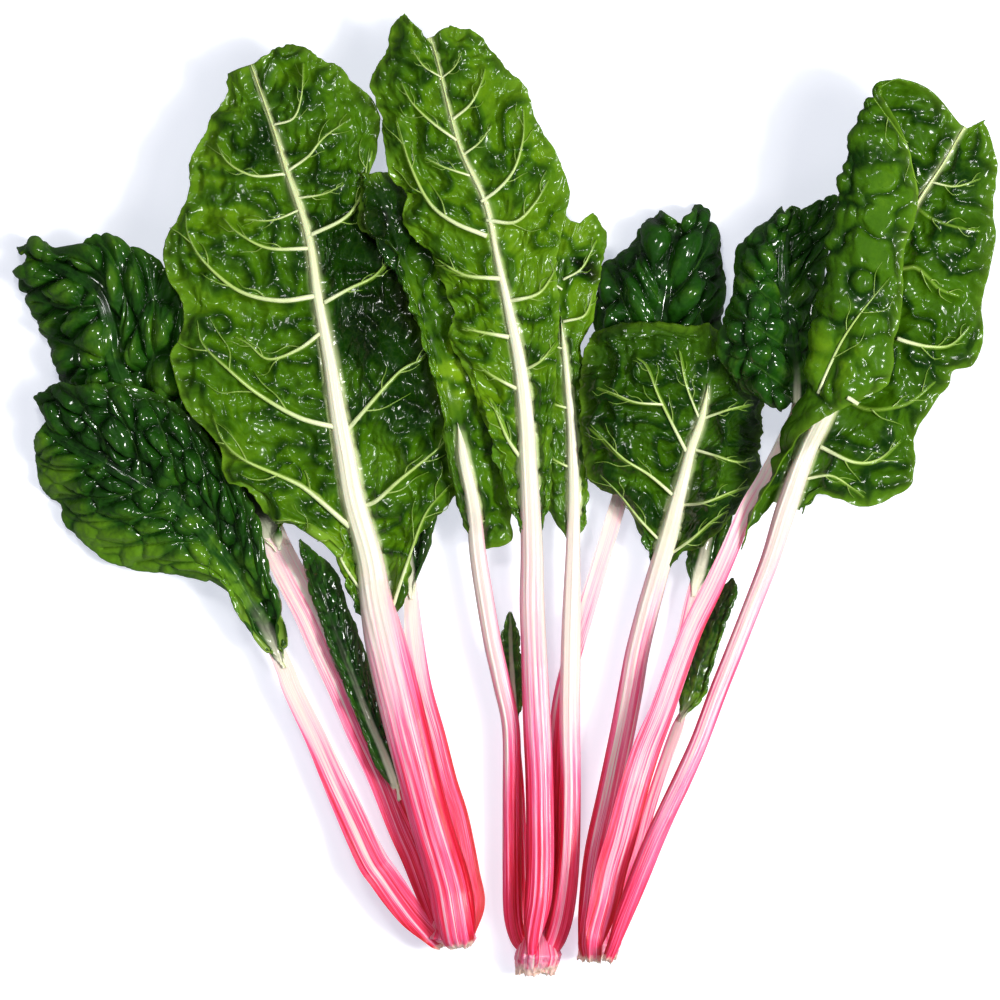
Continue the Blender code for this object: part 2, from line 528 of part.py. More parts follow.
def add_blade(leaf, net, collection):
    """A grid moved onto the net, split into triangles and thickened, so both faces match."""
    rows, columns = net.shape[0] - 1, net.shape[1] - 1
    bm = bmesh.new()
    bmesh.ops.create_grid(bm, x_segments=columns, y_segments=rows, size=0.5)
    for vertex in bm.verts:
        column = round((vertex.co.x + 0.5) * columns)
        row = round((vertex.co.y + 0.5) * rows)
        vertex.co = net[row, column]
    bmesh.ops.triangulate(bm, faces=bm.faces[:], quad_method="FIXED")
    look = material("blade_" + leaf["name"], BLADE_GREENS[leaf["shows"]], 0.32)
    blade = add_object("blade_" + leaf["name"], bm, collection, look)
    shell = blade.modifiers.new("Thickness", "SOLIDIFY")
    shell.thickness = BLADE_THICKNESS
    shell.offset = 0.0


def add_loft(name, rings, collection, look):
    """A closed solid through rings of equal count, with a flat cap at each end."""
    bm = bmesh.new()
    loops = [[bm.verts.new(point) for point in ring] for ring in rings]
    count = len(loops[0])
    for low, high in zip(loops, loops[1:]):
        for i in range(count):
            j = (i + 1) % count
            bm.faces.new((low[i], low[j], high[j], high[i]))
    bm.faces.new(loops[0][::-1])
    bm.faces.new(loops[-1])
    bmesh.ops.recalc_face_normals(bm, faces=bm.faces[:])
    return add_object(name, bm, collection, look)


def add_stalk(leaf, stations, normals, collection):
    """Loft of the stalk's section; its flat face lies on the blade, over it or under it."""
    up = leaf["shows"] == "underside"
    hang = BLADE_THICKNESS / 2 + RIB_GAP
    rings = []
    for index, (x, y, z, width) in enumerate(stations):
        level = max(0.0, 1 - index / 3)
        normal = normals[index] * (1 - level) + np.array([-1.0, 0.0]) * level
        normal /= np.linalg.norm(normal)
        height = stalk_height(width)
        ring = []
        for side, rise in STALK_SECTION:
            z_corner = z + hang + rise * height if up else z - hang - rise * height
            ring.append((x + normal[0] * side * width, y + normal[1] * side * width, z_corner))
        rings.append(ring)
    look = material("stalk_" + leaf["name"], STALK_PINK, 0.38)
    add_loft("stalk_" + leaf["name"], rings, collection, look)


def add_crown(crown, collection):
    """A stub with a flat underside on the table."""
    rings = []
    for x, y, width, height in crown["rings"]:
        centre = on_table([(x, y, 0.0)])[0]
        ring = []
        for corner in range(CROWN_CORNERS):
            turn = 2 * math.pi * (corner + 0.5) / CROWN_CORNERS
            rise = (max(math.sin(turn), -CROWN_FLAT) + CROWN_FLAT) / (1 + CROWN_FLAT)
            ring.append((centre[0] + math.cos(turn) * width * STEP / 2, centre[1],
                         rise * height * MM))
        rings.append(ring)
    add_loft(crown["name"], rings, collection, material(crown["name"], CROWN_CREAM, 0.5))


def main():
    clear_scene()
    bunch = bpy.data.collections.new("swiss_chard_bunch")
    bpy.context.scene.collection.children.link(bunch)
    cells = int(2 * TABLE_HALF / TABLE_CELL) + 1
    heights = np.full((cells, cells), -LEAF_CLEARANCE)
    for leaf in LEAVES:
        stations, normals, net = lay_down(leaf, heights)
        add_blade(leaf, net, bunch)
        add_stalk(leaf, stations, normals, bunch)
    for crown in CROWNS:
        add_crown(crown, bunch)


main()
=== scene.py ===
"""Looks of the Swiss chard bunch: fine puckered blades, ribbed pink stalks and torn crowns.

Each leaf is drawn again from the same lines as its solids and laid down by the same rule, so every
fine piece sits where its solid is. Heights are in millimetres above the table in the leaf tables,
x and y run to the right and down on the drawing grid, and everything else is in metres.
"""

import math

import bpy
import numpy as np
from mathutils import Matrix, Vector, kdtree


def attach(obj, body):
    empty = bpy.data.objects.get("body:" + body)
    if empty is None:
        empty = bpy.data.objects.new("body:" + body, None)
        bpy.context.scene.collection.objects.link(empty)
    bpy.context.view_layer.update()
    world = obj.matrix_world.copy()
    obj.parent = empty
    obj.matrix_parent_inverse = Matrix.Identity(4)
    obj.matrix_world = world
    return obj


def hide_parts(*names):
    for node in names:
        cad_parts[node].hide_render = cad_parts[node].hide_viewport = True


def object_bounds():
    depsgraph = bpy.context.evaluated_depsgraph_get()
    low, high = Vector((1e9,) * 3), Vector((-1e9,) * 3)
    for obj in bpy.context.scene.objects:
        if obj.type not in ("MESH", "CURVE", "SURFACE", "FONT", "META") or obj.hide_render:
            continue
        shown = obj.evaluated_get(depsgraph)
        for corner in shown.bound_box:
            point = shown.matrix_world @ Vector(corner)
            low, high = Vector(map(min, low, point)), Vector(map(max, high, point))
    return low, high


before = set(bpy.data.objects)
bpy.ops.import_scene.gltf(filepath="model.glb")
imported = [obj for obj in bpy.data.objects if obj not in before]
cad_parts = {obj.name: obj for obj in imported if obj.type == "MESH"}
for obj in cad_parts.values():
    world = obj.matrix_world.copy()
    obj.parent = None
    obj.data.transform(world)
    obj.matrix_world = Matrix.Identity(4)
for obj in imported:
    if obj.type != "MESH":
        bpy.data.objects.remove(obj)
CAD_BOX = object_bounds()

# The drawing grid.
BUNCH_WIDTH = 0.445
DRAWN_WIDTH = 988
STEP = BUNCH_WIDTH / DRAWN_WIDTH
MIDDLE_X = 498
MIDDLE_Y = 497.5
MM = 0.001

# The solids' sizes, and the rule by which each leaf is laid over what lies below it.
BLADE_THICKNESS = 0.9 * MM
RIB_GAP = 0.5 * MM
RIB_MARGIN = 1.2 * MM
LEAF_CLEARANCE = 1.4 * MM
LEAST_LOBE = 2.5 * MM
LOBE_START = 0.4
LOBE_GROWTH = 5
STALK_FLATNESS = 0.42
STALK_LEAST_HEIGHT = 0.8 * MM
STALK_ROWS = 7
STEEPEST_LIFT = 0.55
SIDEWAYS_EASE = 0.8
MARGIN_LEAD = 0.88
SPAN_POINTS = 14
ACROSS_POINTS = 8
BAND_POINTS = 5
LAY_DETAIL = 6
LAY_ROUNDS = 14
LAID_CLOSELY = 0.02 * MM
SETTLE_DETAIL = 7
TABLE_CELL = 1.5 * MM
TABLE_HALF = 260 * MM
SEED = 11
NOISE_SIZE = 64

# Fine blades: how they lie, how far from veins, ribs and margins they stay calm, and their frills.
FINE_THICKNESS = 0.6 * MM
FINE_CELL = 0.75 * MM
FINE_GAP = 0.8 * MM
FREE_OF_RIB = 4 * MM
MOST_FINE_LIFT = 9 * MM
LIFT_ROUNDS = 10
BASE_TAPER = 18 * MM
BASE_SHARE = 0.10
POINTED_TIP = 0.25
LEAST_TIP = 0.02
UPPER_STRIP_CELLS = 10
UNDERSIDE_STRIP_CELLS = 3
BLISTER_SLANT = 0.1
DIMPLE_SCALE = 1.9
LUMP_SIZE = 34.0
DEFAULT_LUMPS = 2.4
CALM_BY_VEIN = 2.2 * MM
CALM_BY_RIB = 2.0 * MM
CALM_BY_MARGIN = 5.0 * MM
SWELL_BY_VEIN = 7.0 * MM
LUMPS_BY_RIB = 9.0 * MM
WIDE_FOLD = 9.5 * MM
NARROW_FOLD = 4.6 * MM
FRILL_LENGTH = 11 * MM
FRILL_REACH = 7 * MM
RAGGED_REACH = 4 * MM
RIM_WIDTH = 2.5 * MM

# Midribs, stalks and crowns.
RIB_SLIMMING = 0.60
RIB_SINK = 0.45 * MM
RIB_FADE = 14 * MM
RIB_STAIN = 0.5 * MM
BASE_RIB = 32 * MM
STALK_AROUND = 72
STALK_FINE_ROWS = 260
RIDGE_PITCH = 2.6 * MM
RIDGE_DEPTH = 0.34 * MM
RIDGE_WANDER = 0.03
FRAYED_ROWS = 12
TORN_REACH = 5 * MM
TORN_PITS = 1.6 * MM
TORN_RINGS = (0.86, 0.66, 0.44, 0.22, 0.05)
TORN_COLOUR = 1.6
CROWN_AROUND = 120
CROWN_ROWS = 40
CROWN_CUT = 1.30
CROWN_START = dict(up=26, width=0.6, height=0.4)
CROWN_REDNESS = 0.42

# Side veins. Their ends' widths on the blade are in steps of the grid.
VEIN_SLIMMING = 0.62
VEIN_END = 0.25 * MM
VEIN_REACH = 1.2 * MM
VEIN_FOLD = 4 * MM
VEIN_AROUND = 8
VEIN_POINTS = 40
BRANCH_POINTS = 14
BRANCH_SHARES = (0.30, 0.50, 0.68, 0.84)
GROWN_VEINS = 4
MAIN_FADE = 1.6
BRANCH_FADE = 1.0
BRANCH_STRENGTH = 0.6

# Camera, lights as (name, place, size, watts, colour, seen as glints), and floor.
CAMERA_SENSOR = 36.0
CAMERA_HEIGHT = 3.0
CAMERA_X = 500
CAMERA_Y = 500
CAMERA_FAR = 20.0
PHOTO_LEVEL = 0.02
FRAME_WIDTH = 0.4504
LIGHTS = [
    ("key", (1.00, -0.10, 1.45), 0.80, 16.0, (1.0, 0.99, 0.97), False),
    ("spark", (1.05, -0.15, 1.40), 0.30, 24.0, (1.0, 1.0, 0.98), True),
    ("glint", (-0.25, 0.75, 1.50), 0.30, 9.0, (1.0, 1.0, 1.0), True),
    ("fill", (-0.45, -0.95, 1.50), 0.9, 5.0, (0.96, 0.97, 1.0), False),
]
LIGHTS_AIM = (0.0, 0.0, 0.02)
WORLD_COLOUR = (0.93, 0.95, 1.0)
WORLD_LIGHT = 0.09
FLOOR_HALF = 3.0
FLOOR_COLOUR = (0.62, 0.62, 0.62, 1.0)
FLOOR_GLOW_COLOUR = (0.82, 0.86, 1.0, 1.0)
FLOOR_GLOW = 0.62

# A leaf's spine runs from its cut base to its tip as (x, y, height, width).
# Side lines run the same way from the blade's start, each as (x, y, height), from the rib outwards.
LEAVES = [
    dict(
        name="left_hidden", shows="upper", start=8, rows=10, left_cells=3, right_cells=3,
        laterals=4, dome=2.0, arch=2.0, wave=1.5, waves=4,
        spine=[(468, 932, 10, 16), (474, 905, 10, 22), (469, 875, 10, 22), (458, 820, 10, 22),
               (446, 782, 10, 22), (434, 735, 10, 22), (421, 687, 10, 21), (414, 640, 11, 19),
               (411, 600, 12, 15), (405, 520, 14, 10), (408, 440, 16, 8), (416, 360, 18, 6),
               (424, 290, 18, 4)],
        left=[[(402, 595, 12), (385, 520, 12), (372, 460, 13), (370, 400, 14), (380, 330, 16),
               (405, 280, 17)]],
        right=[[(420, 595, 12), (430, 540, 13), (444, 480, 14), (448, 420, 15), (446, 350, 16),
                (438, 290, 17)]],
    ),
    dict(
        name="left_broad", shows="upper", start=10, rows=18, left_cells=5, right_cells=5,
        laterals=7, dome=4.0, arch=7.0, wave=2.5, waves=5,
        spine=[(442, 930, 9, 18), (431, 901, 9, 26), (416, 859, 9, 30), (403, 829, 10, 31),
               (384, 779, 10, 33), (364, 735, 11, 34), (343, 686, 12, 34), (326, 649, 13, 35),
               (310, 613, 14, 34), (294, 583, 15, 32), (278, 551, 17, 30), (264, 520, 19, 28),
               (243, 488, 22, 26), (218, 466, 24, 22), (190, 442, 26, 18), (160, 420, 27, 15),
               (132, 395, 27, 13), (115, 360, 28, 10), (110, 325, 29, 8), (95, 290, 26, 6),
               (60, 268, 20, 4), (25, 258, 12, 3)],
        left=[[(262, 556, 16), (243, 540, 16), (222, 515, 16), (195, 500, 14), (160, 480, 12),
               (120, 455, 10), (85, 425, 8), (62, 395, 6), (46, 353, 5), (33, 316, 3),
               (22, 290, 2), (8, 272, 2)]],
        right=[[(294, 546, 18), (290, 520, 20), (280, 490, 22), (262, 440, 26), (240, 390, 30),
                (215, 340, 32), (190, 295, 32), (171, 272, 30), (149, 252, 28), (103, 238, 22),
                (61, 247, 15), (33, 242, 8), (14, 246, 5)]],
    ),
    dict(
        name="left_outer", shows="upper", start=9, rows=18, left_cells=5, right_cells=5,
        laterals=8, dome=3.0, arch=5.0, wave=3.0, waves=7,
        spine=[(430, 937, 12, 16), (413, 918, 12, 26), (398, 898, 12, 30), (384, 878, 12, 31),
               (370, 857, 13, 31), (345, 804, 13, 28), (332, 776, 14, 25), (316, 740, 14, 22),
               (293, 692, 16, 20), (284, 668, 17, 18), (266, 628, 18, 15), (252, 605, 20, 14),
               (238, 580, 22, 13), (222, 555, 24, 13), (200, 525, 27, 12), (172, 500, 29, 11),
               (140, 483, 29, 9), (105, 463, 27, 7), (70, 445, 22, 5), (42, 425, 15, 3)],
        left=[[(274, 672, 15), (258, 636, 14), (244, 614, 14), (232, 599, 13), (213, 584, 13),
               (197, 577, 12), (182, 574, 11), (155, 572, 9), (116, 564, 7), (87, 546, 5),
               (66, 527, 4), (60, 505, 4), (40, 490, 3), (33, 459, 2), (30, 440, 2)]],
        right=[[(296, 668, 17), (290, 640, 17), (282, 616, 19), (276, 594, 21), (267, 568, 24),
                (260, 530, 28), (250, 500, 31), (230, 465, 34), (205, 430, 36), (175, 402, 36),
                (140, 388, 34), (110, 384, 30), (83, 386, 25), (55, 386, 17), (36, 400, 9)]],
    ),
    dict(
        name="left_inner", shows="upper", start=3, rows=14, left_cells=2, right_cells=2,
        laterals=6, dome=1.5, arch=1.5, wave=2.2, waves=6,
        spine=[(456, 928, 9, 12), (436, 880, 9, 12), (416, 835, 9, 11), (400, 800, 9, 10),
               (388, 765, 10, 9), (370, 722, 11, 8), (352, 676, 13, 7), (338, 640, 14, 6),
               (320, 590, 15, 5), (300, 540, 15, 3)],
        left=[[(394, 806, 9), (384, 775, 10), (370, 738, 11), (358, 712, 12), (350, 668, 13),
               (338, 640, 14), (326, 610, 15), (310, 578, 15), (292, 545, 15)]],
        right=[[(404, 797, 9), (398, 745, 11), (384, 700, 12), (368, 655, 13), (350, 610, 14),
                (330, 560, 15), (306, 530, 15)]],
    ),
    dict(
        name="left_front", shows="underside", start=7, rows=20, left_cells=5, right_cells=5,
        laterals=8, dome=-2.5, arch=4.0, wave=3.0, waves=8,
        spine=[(458, 936, 8, 34), (454, 912, 8, 43), (448, 880, 8, 44), (433, 830, 8, 42),
               (420, 782, 8, 42), (407, 730, 10, 44), (396, 685, 12, 44), (385, 640, 14, 41),
               (376, 600, 16, 34), (369, 555, 19, 28), (354, 500, 24, 25), (346, 455, 27, 23),
               (338, 411, 30, 20), (330, 360, 33, 17), (319, 300, 36, 14), (309, 236, 37, 11),
               (289, 175, 36, 8), (274, 128, 34, 5), (252, 66, 30, 3)],
        left=[[(362, 636, 15), (352, 600, 16), (342, 562, 17), (333, 544, 18), (300, 524, 20),
               (270, 519, 22), (248, 493, 24), (227, 481, 26), (221, 448, 29), (191, 411, 33),
               (175, 358, 36), (187, 317, 37), (169, 274, 38), (167, 242, 38), (190, 200, 36),
               (193, 155, 33), (222, 100, 29), (228, 75, 27)]],
        right=[[(407, 636, 15), (409, 600, 16), (411, 575, 17), (414, 545, 19), (438, 515, 22),
                (456, 492, 24), (456, 465, 25), (450, 430, 24), (440, 380, 23), (425, 330, 23),
                (400, 262, 24), (380, 215, 26), (366, 190, 28), (375, 150, 30), (379, 112, 30),
                (345, 75, 30), (300, 48, 29), (274, 50, 29)]],
    ),
    dict(
        name="middle_back", shows="upper", start=6, rows=12, left_cells=4, right_cells=4,
        laterals=4, dome=5.0, arch=10.0, wave=2.0, waves=4,
        spine=[(548, 945, 9, 18), (553, 880, 9, 18), (556, 780, 9, 18), (562, 700, 10, 18),
               (583, 622, 10, 18), (603, 555, 11, 17), (621, 495, 12, 16), (640, 430, 14, 13),
               (652, 370, 17, 10), (662, 310, 20, 8), (670, 260, 20, 6), (678, 222, 17, 3)],
        left=[[(608, 480, 10), (606, 430, 10), (600, 380, 11), (594, 335, 12), (594, 300, 12),
               (604, 264, 10), (625, 247, 7), (644, 224, 3), (662, 209, 0)]],
        right=[[(640, 495, 11), (668, 450, 12), (695, 400, 14), (715, 350, 14), (725, 300, 11),
                (726, 262, 7), (723, 235, 3), (713, 212, 0), (695, 205, 0)]],
    ),
    dict(
        name="right_inner", shows="upper", start=5, rows=8, left_cells=2, right_cells=2,
        laterals=3, dome=1.5, arch=1.5, wave=1.5, waves=3,
        spine=[(604, 930, 7, 12), (630, 832, 7, 14), (652, 745, 8, 14), (672, 682, 9, 14),
               (686, 632, 9, 15), (694, 597, 10, 15), (706, 550, 10, 12), (716, 500, 11, 9),
               (722, 455, 11, 6), (727, 425, 11, 3)],
        left=[[(684, 600, 9), (680, 585, 9), (688, 550, 9), (700, 510, 10), (706, 465, 10),
               (716, 428, 10)]],
        right=[[(706, 602, 10), (718, 575, 10), (728, 535, 10), (736, 490, 10), (740, 450, 10),
                (736, 425, 10)]],
    ),
    dict(
        name="right_small", shows="upper", start=4, rows=12, left_cells=2, right_cells=2,
        laterals=5, dome=1.5, arch=1.5, wave=2.2, waves=5,
        spine=[(612, 928, 8, 10), (636, 860, 8, 12), (650, 809, 8, 12), (664, 766, 9, 12),
               (680, 722, 10, 12), (694, 688, 11, 11), (704, 655, 12, 9), (720, 608, 14, 6),
               (733, 578, 15, 3)],
        left=[[(671, 718, 9), (678, 685, 10), (690, 650, 11), (706, 618, 13), (722, 585, 14)]],
        right=[[(688, 734, 9), (698, 704, 11), (714, 664, 13), (726, 622, 14), (742, 594, 15),
                (744, 575, 15)]],
    ),
    dict(
        name="middle_sprig", shows="upper", start=3, rows=8, left_cells=1, right_cells=1,
        laterals=3, dome=1.0, arch=1.0, wave=1.2, waves=4,
        spine=[(528, 940, 5, 8), (524, 880, 6, 8), (521, 800, 7, 8), (516, 735, 8, 7),
               (513, 690, 9, 6), (511, 650, 10, 5), (510, 612, 11, 3)],
        left=[[(510, 730, 8), (504, 690, 9), (499, 650, 10), (502, 612, 11)]],
        right=[[(520, 728, 8), (522, 690, 9), (521, 650, 10), (518, 612, 11)]],
    ),
    dict(
        name="middle_small", shows="underside", start=9, rows=18, left_cells=3, right_cells=3,
        laterals=6, dome=-2.0, arch=3.0, wave=3.0, waves=8,
        spine=[(526, 952, 8, 12), (518, 940, 8, 16), (513, 915, 8, 19), (512, 870, 9, 19),
               (512, 800, 9, 19), (511, 730, 10, 18), (502, 685, 11, 18), (493, 645, 12, 18),
               (485, 600, 13, 18), (478, 555, 15, 17), (473, 505, 16, 15), (464, 460, 18, 12),
               (457, 420, 20, 9), (442, 365, 22, 6), (424, 310, 24, 5), (404, 262, 25, 4),
               (385, 210, 25, 4), (372, 175, 24, 3)],
        left=[[(466, 550, 14), (458, 490, 16), (450, 440, 18), (448, 400, 20), (440, 352, 21),
               (414, 302, 22), (400, 265, 22), (374, 240, 22), (357, 226, 22), (361, 195, 22),
               (364, 172, 21)]],
        right=[[(490, 560, 15), (503, 570, 15), (512, 530, 16), (511, 480, 18), (506, 430, 20),
                (495, 380, 22), (478, 330, 24), (455, 275, 25), (425, 215, 25),
                (390, 172, 24)]],
    ),
    dict(
        name="middle_side", shows="underside", start=9, rows=14, left_cells=3, right_cells=3,
        laterals=6, dome=-1.8, arch=2.0, wave=2.0, waves=6,
        spine=[(550, 953, 8, 16), (556, 938, 8, 22), (562, 915, 9, 24), (567, 880, 9, 23),
               (570, 840, 10, 21), (571, 788, 10, 20), (570, 725, 11, 21), (571, 650, 12, 20),
               (572, 600, 13, 18), (573, 555, 14, 15), (574, 500, 17, 13), (573, 460, 18, 12),
               (571, 420, 20, 10), (566, 366, 22, 8), (561, 317, 23, 6), (562, 280, 23, 5),
               (568, 245, 23, 4), (575, 222, 22, 3)],
        left=[[(562, 552, 13), (550, 520, 14), (542, 480, 16), (539, 430, 18), (538, 380, 20),
               (534, 330, 21), (532, 280, 22), (543, 240, 22), (562, 212, 21)]],
        right=[[(585, 550, 13), (588, 500, 15), (585, 440, 18), (584, 400, 19), (583, 365, 20),
                (582, 342, 20), (592, 318, 19), (599, 283, 19), (604, 257, 19), (606, 235, 19),
                (592, 213, 19)]],
    ),
    dict(
        name="right_low", shows="underside", start=8, rows=16, left_cells=5, right_cells=5,
        laterals=5, dome=-2.2, arch=2.0, wave=2.0, waves=5,
        spine=[(586, 940, 6, 16), (590, 905, 6, 23), (597, 851, 6, 25), (610, 792, 7, 25),
               (622, 736, 8, 25), (631, 690, 9, 25), (637, 656, 10, 24), (646, 618, 12, 23),
               (655, 585, 13, 22), (667, 542, 17, 21), (676, 507, 20, 18), (683, 480, 22, 15),
               (691, 448, 25, 13), (701, 419, 28, 11), (707, 387, 30, 8), (708, 360, 31, 6),
               (706, 335, 29, 4), (704, 324, 25, 3)],
        left=[[(645, 566, 15), (640, 510, 22), (640, 450, 28), (640, 400, 33), (640, 355, 33),
               (641, 329, 27), (641, 322, 21)],
              [(643, 574, 12), (638, 525, 12), (621, 499, 12), (600, 491, 12), (587, 474, 13),
               (583, 440, 15), (580, 400, 18), (582, 360, 20), (586, 340, 18), (590, 332, 13)]],
        right=[[(672, 572, 15), (690, 540, 19), (715, 490, 24), (730, 440, 28), (738, 400, 29),
                (737, 365, 27), (733, 342, 22)],
               [(670, 577, 12), (679, 557, 10), (702, 547, 6), (728, 522, 3), (753, 492, 1),
                (762, 450, 1), (764, 410, 2), (762, 385, 5), (756, 365, 7)]],
    ),
    dict(
        name="right_curled", shows="upper", start=17, rows=12, left_cells=4, right_cells=3,
        laterals=4, dome=3.0, arch=2.0, wave=2.0, waves=4,
        spine=[(594, 942, 16, 16), (597, 926, 16, 24), (604, 900, 16, 30), (611, 868, 15, 31),
               (621, 834, 15, 30), (632, 792, 15, 29), (645, 750, 16, 28), (661, 710, 18, 25),
               (679, 660, 20, 23), (693, 625, 22, 21), (710, 590, 25, 20), (727, 553, 28, 18),
               (746, 508, 30, 16), (761, 482, 31, 15), (775, 455, 31, 13), (786, 430, 32, 11),
               (792, 418, 33, 10), (795, 404, 33, 9), (795, 370, 34, 8), (788, 320, 34, 7),
               (782, 275, 32, 6), (785, 235, 28, 4), (798, 208, 24, 3)],
        left=[[(785, 405, 35), (762, 380, 38), (752, 340, 40), (755, 290, 38), (762, 250, 33),
               (784, 214, 27)],
              [(783, 414, 31), (744, 392, 28), (722, 370, 25), (716, 350, 24), (721, 318, 24),
               (732, 295, 23), (738, 257, 20), (749, 237, 18), (767, 222, 17),
               (784, 207, 17)]],
        right=[[(806, 410, 33), (812, 370, 32), (818, 320, 30), (824, 270, 27), (834, 225, 23),
                (837, 198, 20), (822, 200, 20)]],
    ),
    dict(
        name="right_tall", shows="underside", start=11, rows=20, left_cells=8, right_cells=4,
        laterals=7, dome=-2.0, arch=0.0, wave=2.2, waves=7, folded_lines=2,
        spine=[(614, 938, 10, 13), (623, 913, 10, 17), (637, 877, 11, 20), (652, 840, 12, 20),
               (667, 807, 13, 19), (681, 778, 14, 19), (698, 740, 16, 18), (717, 690, 19, 18),
               (734, 648, 22, 18), (753, 600, 25, 18), (769, 558, 29, 19), (785, 506, 34, 21),
               (804, 453, 38, 20), (821, 418, 41, 19), (840, 375, 44, 15), (862, 320, 46, 11),
               (885, 262, 48, 8), (912, 208, 50, 6), (938, 168, 50, 4), (960, 130, 48, 3)],
        left=[[(762, 519, 33), (778, 470, 37), (800, 425, 41), (818, 370, 43), (836, 310, 45),
               (854, 255, 47), (871, 200, 48), (886, 155, 49), (904, 118, 50), (928, 96, 51)],
              [(752, 530, 33), (770, 483, 38), (790, 440, 45), (801, 400, 50), (810, 355, 53),
               (817, 305, 55), (824, 255, 57), (833, 215, 57), (846, 165, 58), (857, 125, 57),
               (870, 102, 55), (900, 84, 53)],
              [(747, 540, 33), (764, 490, 40), (788, 444, 51), (812, 410, 59), (838, 375, 63),
               (850, 335, 65), (858, 285, 65), (867, 230, 65), (873, 180, 64), (872, 140, 61),
               (867, 108, 58), (882, 87, 55)],
              [(742, 550, 33), (758, 500, 41), (786, 448, 54), (812, 422, 61), (850, 402, 62),
               (880, 386, 62), (888, 362, 62), (890, 334, 62), (897, 300, 62), (897, 256, 62),
               (911, 213, 61), (905, 165, 60), (889, 120, 59), (869, 92, 56)]],
        right=[[(800, 505, 36), (835, 475, 40), (862, 440, 43), (890, 390, 46), (915, 340, 48),
                (932, 280, 50), (945, 230, 52), (957, 180, 51), (968, 124, 47)],
               [(797, 514, 34), (818, 495, 34), (855, 506, 33), (882, 502, 33), (908, 488, 34),
                (913, 460, 36), (912, 435, 38), (930, 405, 40), (945, 385, 41), (951, 372, 42),
                (971, 366, 43), (981, 340, 44), (978, 300, 46), (985, 264, 47), (990, 236, 48),
                (988, 215, 48), (992, 170, 47), (987, 140, 46), (977, 121, 46)]],
    ),
    dict(
        name="middle_front", shows="underside", start=9, rows=22, left_cells=4, right_cells=4,
        laterals=9, dome=-2.2, arch=4.0, wave=2.6, waves=8,
        spine=[(532, 944, 14, 12), (534, 926, 14, 21), (538, 900, 14, 27), (540, 865, 13, 28),
               (540, 820, 13, 28), (539, 770, 12, 28), (537, 725, 12, 28), (534, 650, 14, 26),
               (532, 600, 16, 25), (532, 555, 18, 23), (530, 500, 22, 21), (528, 460, 25, 19),
               (526, 420, 29, 18), (520, 366, 33, 15), (509, 312, 36, 12), (497, 258, 39, 8),
               (485, 204, 40, 6), (459, 146, 40, 5), (437, 60, 36, 3.5), (430, 40, 35, 3)],
        left=[[(521, 548, 18), (512, 510, 20), (500, 470, 22), (486, 430, 24), (470, 385, 27),
               (450, 338, 30), (453, 312, 32), (433, 254, 35), (417, 245, 36), (403, 218, 36),
               (405, 195, 36), (390, 180, 35), (380, 115, 34), (373, 85, 33), (389, 52, 32),
               (392, 32, 32), (407, 18, 32)]],
        right=[[(546, 548, 18), (548, 510, 20), (549, 460, 22), (551, 420, 25), (554, 380, 27),
                (557, 345, 29), (560, 300, 31), (558, 262, 33), (566, 220, 35), (568, 190, 36),
                (552, 148, 37), (534, 116, 37), (526, 91, 37), (502, 66, 36), (481, 38, 35),
                (450, 27, 34)]],
    ),
]

CROWNS = [
    dict(name="crown_left", rings=[(452, 939, 52, 28), (453, 942, 46, 24), (453, 948, 30, 16)]),
    dict(name="crown_middle", rings=[(538, 956, 50, 26), (537, 966, 46, 22), (535, 978, 32, 15)]),
    dict(name="crown_right", rings=[(600, 944, 46, 26), (599, 953, 42, 23), (597, 963, 32, 17)]),
]
CROWN_FLAT = 0.70

